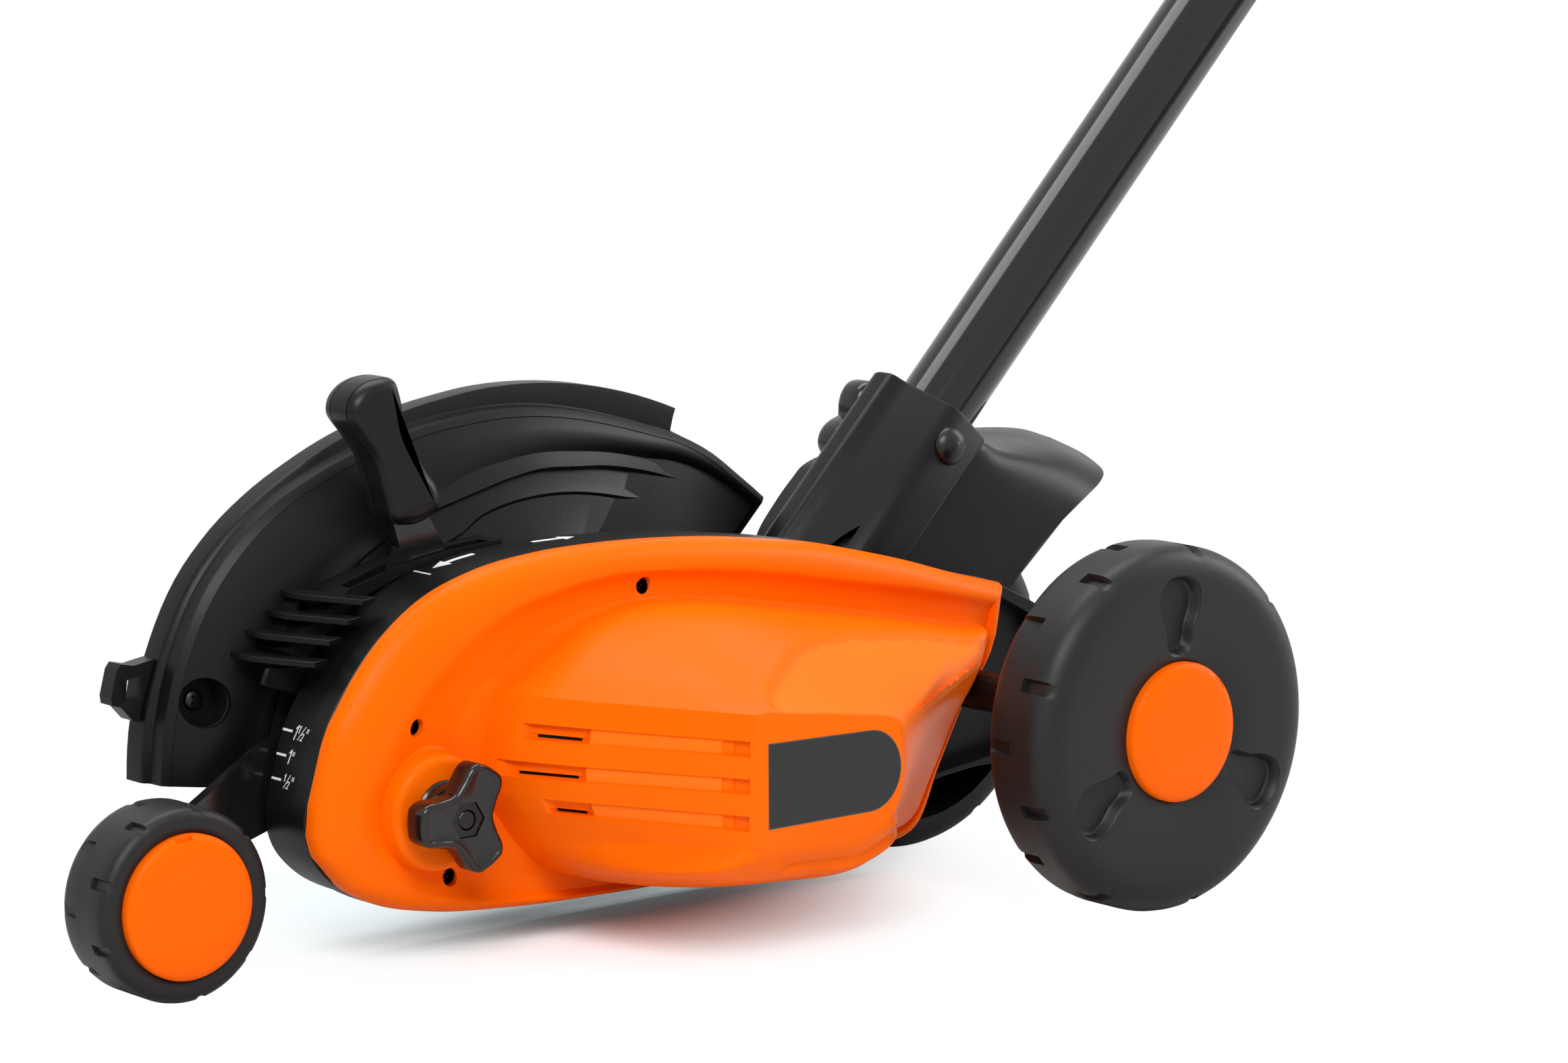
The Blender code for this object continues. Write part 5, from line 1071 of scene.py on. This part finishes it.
# Debris flap
# A curved sheet of black plastic, 2.4 mm thick, that rises from the housing, passes under the socket and
# turns over the far wheel.
FLAP_ROWS = [
    [(-24, 154, 126), (-6, 154, 121), (12, 154, 115), (26, 154, 111), (37, 154, 109), (46.9, 154, 108.1)],
    [(-8, 154.3, 141), (8, 154.4, 139), (24, 154.5, 136), (38, 154.7, 131), (51, 155, 127.5),
     (63.9, 155, 124)],
    [(8, 155, 157), (22, 155, 156), (38, 155.5, 153), (54, 156, 148.5), (70, 156.5, 142.8),
     (84.8, 157, 137.3)],
    [(24, 156, 171), (34, 157, 172.5), (45, 158, 165.5), (63, 159.5, 160), (82, 160, 152.5),
     (99, 160, 143.9)],
    [(31, 164, 171), (42, 166, 170), (58, 167, 167), (76, 167.5, 163), (95, 167, 157), (112, 166, 147.7)],
    [(36, 178, 168.5), (46, 180, 168.5), (62, 181, 168), (82, 180, 165.5), (103, 178, 160.5),
     (122.6, 175, 150.5)],
    [(36, 199, 166.5), (47, 199, 167), (64, 200, 168), (86, 200, 167), (109, 196, 163.5),
     (128.7, 188, 153.3)],
    [(36, 214.5, 167), (48, 214.5, 167.5), (66, 214.5, 168.5), (89, 213, 168), (113, 210, 165),
     (128.9, 199, 157)],
    [(36, 226, 166), (48, 227, 167), (70, 227, 168), (95.2, 226, 167.5), (113.7, 220, 165.9),
     (123, 210, 162)]]
FLAP_FRONT = [(10, 166), (-6.7, 162.2), (-14.7, 156.2), (-23.8, 147.2), (-34, 134.8), (-38, 122)]
FLAP_THICKNESS = 2.4


def smooth_line(points, parts=5):
    """An open line of points with its corners rounded off, each span cut into parts."""
    points = np.array(points, dtype=float)
    slopes = np.gradient(points, axis=0)
    line = [hermite(*span, step / parts) for span in zip(points, points[1:], slopes, slopes[1:])
            for step in range(parts)]
    return np.array(line + [points[-1]])


def flap_sheet(name, grid):
    """A sheet of the flap's thickness through a grid of places, its back below it."""
    grid = np.array(grid)
    normal = np.cross(np.gradient(grid, axis=0), np.gradient(grid, axis=1))
    normal /= np.linalg.norm(normal, axis=2)[:, :, None]
    back = grid - normal * FLAP_THICKNESS * np.sign(normal[:, :, 2:3] + 1e-9)
    rows = [[at(*point) for point in (*front, *behind[::-1])] for front, behind in zip(grid, back)]
    return lofted(name, rows, BLACK, 40)


across_rows = np.array([smooth_line(row) for row in FLAP_ROWS])
flap_grid = [smooth_line(column) for column in across_rows.transpose(1, 0, 2)]
stands_for(flap_sheet("debris_flap_moulded", flap_grid), "frame", "black_plastic", "debris_flap")
ARCH_NEAR, ARCH_FAR = 214.5, 226
arch = [(36, ARCH_NEAR, 167)] + [(x, ARCH_NEAR, z) for x, z in FLAP_FRONT]
arch_edge = [(36, ARCH_FAR, 166)] + [(x, ARCH_FAR, z - 1) for x, z in FLAP_FRONT]
arch_grid = [[near * (1 - share) + far * share for share in (0, 0.5, 1)]
             for near, far in zip(smooth_line(arch), smooth_line(arch_edge))]
stands_for(flap_sheet("debris_flap_arch", arch_grid), "frame", "black_plastic")

# Handle tubes
# Two lengths of steel tube in gloss black paint meet inside a black sleeve.
def tube_length(name, profile, finish, slot, replaced):
    """A hollow length of tube: a closed line of stations and radii, turned round the tube's axis."""
    rows = [tube_ring(station, radius) for station, radius in profile + profile[:1]]
    stands_for(lofted(name, rows, finish, 40, ends=False), "frame", slot, replaced)


TUBE_PAINT = moulded_plastic("tube_paint", (0.005, 0.005, 0.0052), 0.1, 0.02, 0.42, 200.0)
TUBE_INSIDE, TUBE_EDGE, TUBE_OUTSIDE = 15.5, 16.7, 17
for name, start, end in (("lower_tube", -36, 470), ("upper_tube", 470.3, 900)):
    tube_length(f"{name}_drawn", [
        (start, TUBE_INSIDE), (start, TUBE_EDGE), (start + 0.3, TUBE_OUTSIDE), (end - 0.3, TUBE_OUTSIDE),
        (end, TUBE_EDGE), (end, TUBE_INSIDE)], TUBE_PAINT, "black_paint", name)
tube_length("tube_sleeve_moulded", [
    (438, 17.3), (438, 19.8), (438.8, 20.5), (501.2, 20.5), (502, 19.8), (502, 17.3)], BLACK, "black_plastic",
    "tube_sleeve")


# Upper handle
# Two black half shells, screwed together round the tube's end, make a closed grip. The orange trigger swings
# on its pin inside the grip, the orange lock-off button sits on top, and the mains inlet faces the rear.
HANDLE_OUTLINE = [
    (872, -21), (872, 21), (905, 24), (930, 40), (958, 61), (1005, 71), (1048, 60), (1070, 34), (1078, -8),
    (1074, -48), (1062, -60), (1042, -62), (1024, -48), (1000, -28), (960, -23)]
HAND_HOLE = [(943, 18), (958, 34), (980, 45), (1006, 49), (1032, 42), (1048, 24), (1052, 2), (1044, -12),
             (1020, -6), (985, 4), (955, 8)]
SWITCH_ROOM = [(966, 36), (966, 59), (1036, 62), (1036, 50), (1010, 46), (1010, 36)]
BUTTON_ROOM = [(984, 58), (984, 80), (998, 80), (998, 58)]
INLET_ROOM = [(1052, -57), (1052, -36), (1090, -36), (1090, -57)]
HANDLE_NEAR = TUBE_FOOT[1] - 20.5


def handle_rows(loop, places):
    """Rows of a loop along the tube, each at a place across the machine and moved in by a margin."""
    return [[by_tube(*point, across) for point in (inset(loop, margin) if margin else loop)]
            for margin, across in places]


shell_outline = smooth_loop(HANDLE_OUTLINE, corners=(0, 1), spacing=4.0)
hole_outline = smooth_loop(HAND_HOLE, spacing=3.0)
SHELL_ROUND = [(0, 0.15), (0, 13.0), (0.5, 15.6), (1.6, 17.8), (3.2, 19.4), (5.2, 20.3), (7.2, 20.5)]
HOLE_ROUND = [(0, -2), (0, 13.0), (-0.6, 15.6), (-1.8, 17.8), (-3.4, 19.4), (-5.4, 20.6), (-6, 22)]
for name, side in (("near", -1), ("far", 1)):
    rounds = [[(margin, side * across) for margin, across in places] for places in (SHELL_ROUND, HOLE_ROUND)]
    shell = lofted(f"handle_shell_{name}_moulded", handle_rows(shell_outline, rounds[0]), BLACK, 40)
    tools = [lofted("hand_hole", handle_rows(hole_outline, rounds[1]), BLACK),
             lofted("tube_room", [tube_ring(860, 17.2), tube_ring(900.3, 17.2)], SHADE_BLACK)]
    room = sorted((-side * 5, side * 9))
    for tool, loop, (near, far) in (("switch_room", SWITCH_ROOM, room), ("button_room", BUTTON_ROOM, room),
                                    ("inlet_room", INLET_ROOM, (-11, 11))):
        tools.append(lofted(tool, handle_rows(loop, ((0, near), (0, far))), SHADE_BLACK))
    carved(shell, tools, corner=40)
    stands_for(shell, "frame", "black_plastic", f"handle_shell_{name}")
for station, front in ((890, 0), (934, 26), (1064, 20), (1048, -48)):
    head = screw(f"handle_screw_{station}", *along_tube(station, front), HANDLE_NEAR - 0.1, 3.4)
    stands_for(head, "frame", "steel")
for name in ("trigger", "lock_off_button"):
    softened(nodes[name], 1.0, 30, 3)
softened(nodes["power_inlet"], 0.3)
softened(nodes["switch_module"], 0.4)

# Auxiliary handle
# A black bow with a soft grip pivots on a clamp that slides on the tube. A long bolt and a knob lock it.
AUX_STATION, AUX_FRONT, AUX_LEAN = 640, 33, math.radians(98)
AUX_PATH = [(-17.5, -7), (-17.5, 21), (-29, 42), (-46, 62), (-58, 92), (-52, 112), (-30, 120), (0, 122)]
AUX_RADII = [5.8, 5.8, 9, 11, 13, 14, 14, 14.5, 14, 14, 13, 11, 9, 5.8, 5.8]
bow_line = smooth_line(AUX_PATH + [(-across, reach) for across, reach in reversed(AUX_PATH[:-1])], 8)
bow_radii = smooth_line([(radius, 0) for radius in AUX_RADII], 8)[:, 0]
aux_axis = by_tube(AUX_STATION, AUX_FRONT)
lean_x, lean_z = math.cos(AUX_LEAN), math.sin(AUX_LEAN)
bow_rows = []
for (across, reach), (side, rise), radius in zip(bow_line, np.gradient(bow_line, axis=0), bow_radii):
    place = aux_axis + Vector((lean_x * reach, across, lean_z * reach)) * MM
    width = Vector((lean_x * side, -rise, lean_z * side)) / math.hypot(side, rise)
    normal = Vector((-lean_z, 0, lean_x))
    bow_rows.append([place + (width * math.cos(turn) + normal * math.sin(turn)) * radius * MM
                     for turn in turns_of(32)])
bow = lofted("aux_handle_moulded", bow_rows, GRIP_BLACK, 45)
AUX_BOLT_AT = along_tube(AUX_STATION, AUX_FRONT)
THROUGH_BOW = (100, 250)
carved(bow, [round_bar("aux_bolt_hole", *AUX_BOLT_AT, 3.3, *THROUGH_BOW, SHADE_BLACK)], corner=45)
stands_for(bow, "aux_handle", "soft_grip", "aux_handle")
EYE_ROUND = [(11.2, 11.5), (12, 12.3), (12, 23.4), (11.2, 24.2)]
for name, side in (("near", -1), ("far", 1)):
    profile = [(radius, TUBE_FOOT[1] + side * y) for radius, y in EYE_ROUND]
    eye = boss(f"aux_eye_{name}", *AUX_BOLT_AT, profile, GRIP_BLACK)
    hole = round_bar(f"aux_eye_hole_{name}", *AUX_BOLT_AT, 3.4, *THROUGH_BOW, SHADE_BLACK)
    carved(eye, [hole], corner=45)
    stands_for(eye, "aux_handle", "soft_grip")
softened(nodes["aux_clamp_ring"], 0.6, 40)
softened(nodes["aux_knob"], 0.8, 40, 3)
softened(nodes["aux_bolt"], 0.3)


# Studio
# The machine stands on a pale floor before a white background, under three large soft lamps.
WHITE = (1, 1, 1, 1)
FLOOR_HALF = 9.0
SHADOW_MIDDLE, SHADOW_WHOLE, SHADOW_GONE = (-0.15, 0.2, 0), 0.05, 0.2
floor_mesh = bpy.data.meshes.new("studio_floor")
floor_corners = [(x * FLOOR_HALF, y * FLOOR_HALF, 0) for x, y in ((-1, -1), (1, -1), (1, 1), (-1, 1))]
floor_mesh.from_pydata(floor_corners, [], [(0, 1, 2, 3)])
floor = bpy.data.objects.new("studio_floor", floor_mesh)
bpy.context.scene.collection.objects.link(floor)
floor_finish = bpy.data.materials.new("studio_floor")
floor_finish.use_nodes = True
tree = floor_finish.node_tree
paper = tree.nodes["Principled BSDF"]
paper.inputs["Base Color"].default_value = (0.8, 0.8, 0.8, 1)
paper.inputs["Roughness"].default_value = 0.9
paper.inputs["Specular IOR Level"].default_value = 0.0
# Straight on, the floor is seen with its shadows near the machine and as bare white paper further away
seen_near = add_node(tree, "BsdfDiffuse", color=(1.15, 1.3, 1.34, 1))
seen_far = add_node(tree, "Emission", color=WHITE, strength=1.0)
place = add_node(tree, "TexCoord")
from_middle = add_node(tree, "VectorMath")
from_middle.operation = "DISTANCE"
from_middle.inputs[1].default_value = tuple(STAND + Vector(SHADOW_MIDDLE))
how_far = add_node(tree, "MapRange", from_min=SHADOW_WHOLE, from_max=SHADOW_GONE)
how_far.interpolation_type = "SMOOTHSTEP"
seen_floor = add_node(tree, "MixShader")
ray = add_node(tree, "LightPath")
either = add_node(tree, "MixShader")
join(tree, (place, "Object", from_middle, 0), (from_middle, "Value", how_far, "Value"),
     (how_far, "Result", seen_floor, 0), (seen_near, 0, seen_floor, 1), (seen_far, 0, seen_floor, 2),
     (ray, "Is Camera Ray", either, 0), (paper, 0, either, 1), (seen_floor, 0, either, 2),
     (either, 0, tree.nodes["Material Output"], "Surface"))
floor_mesh.materials.append(floor_finish)

# Rays that are seen straight or as a reflection meet white, and the others a softer sky
world = bpy.data.worlds.new("studio")
bpy.context.scene.world = world
world.use_nodes = True
tree = world.node_tree
soft_sky = tree.nodes["Background"]
soft_sky.inputs["Color"].default_value = WHITE
soft_sky.inputs["Strength"].default_value = 0.3
white_sky = add_node(tree, "Background", color=WHITE, strength=1.0)
ray = add_node(tree, "LightPath")
direct = add_node(tree, "Math")
direct.operation = "MAXIMUM"
sharp = add_node(tree, "Math")
sharp.operation = "MAXIMUM"
sky = add_node(tree, "MixShader")
join(tree, (ray, "Is Camera Ray", direct, 0), (ray, "Is Glossy Ray", direct, 1), (direct, 0, sharp, 0),
     (ray, "Is Transmission Ray", sharp, 1), (sharp, 0, sky, 0), (soft_sky, 0, sky, 1),
     (white_sky, 0, sky, 2), (sky, 0, tree.nodes["World Output"], 0))


def softbox(name, place, target, width, height, watts):
    """A rectangular lamp that faces target, both in metres from the machine's own corner."""
    lamp = bpy.data.lights.new(name, "AREA")
    lamp.shape = "RECTANGLE"
    lamp.size = width
    lamp.size_y = height
    lamp.energy = watts
    holder = bpy.data.objects.new(name, lamp)
    holder.location = STAND + Vector(place)
    holder.rotation_euler = (Vector(target) - Vector(place)).to_track_quat("-Z", "Y").to_euler()
    bpy.context.scene.collection.objects.link(holder)


AIM = (-0.15, 0.1, 0.1)
softbox("key_softbox", (-1.2, -1.2, 1.5), AIM, 1.2, 0.9, 36)
softbox("rear_softbox", (1.5, -0.4, 0.9), AIM, 0.5, 1.4, 16)
softbox("top_softbox", (0.0, 0.6, 1.9), AIM, 1.6, 1.0, 24)

# The camera stands as in the photograph, on the motor side and in front
CAMERA_PLACE = (-1388.5, -1418.6, 468.6)
CAMERA_HEADING = math.radians(39.78)
CAMERA_DROP = math.radians(8.93)
CAMERA_ROLL = math.radians(-0.29)
camera_data = bpy.data.cameras.new("camera")
camera_data.lens = 114.73
camera_data.sensor_width = 36
camera_data.sensor_fit = "HORIZONTAL"
camera = bpy.data.objects.new("camera", camera_data)
bpy.context.scene.collection.objects.link(camera)
ahead = Vector((math.sin(CAMERA_HEADING) * math.cos(CAMERA_DROP),
                math.cos(CAMERA_HEADING) * math.cos(CAMERA_DROP), -math.sin(CAMERA_DROP)))
level = Vector((math.cos(CAMERA_HEADING), -math.sin(CAMERA_HEADING), 0))
upright = level.cross(ahead)
tilted = level * math.cos(CAMERA_ROLL) + upright * math.sin(CAMERA_ROLL)
raised = upright * math.cos(CAMERA_ROLL) - level * math.sin(CAMERA_ROLL)
turned = Matrix((tilted, raised, -ahead)).transposed().to_4x4()
camera.matrix_world = Matrix.Translation(at(*CAMERA_PLACE)) @ turned
bpy.context.scene.camera = camera
bpy.context.scene.view_settings.view_transform = "Standard"
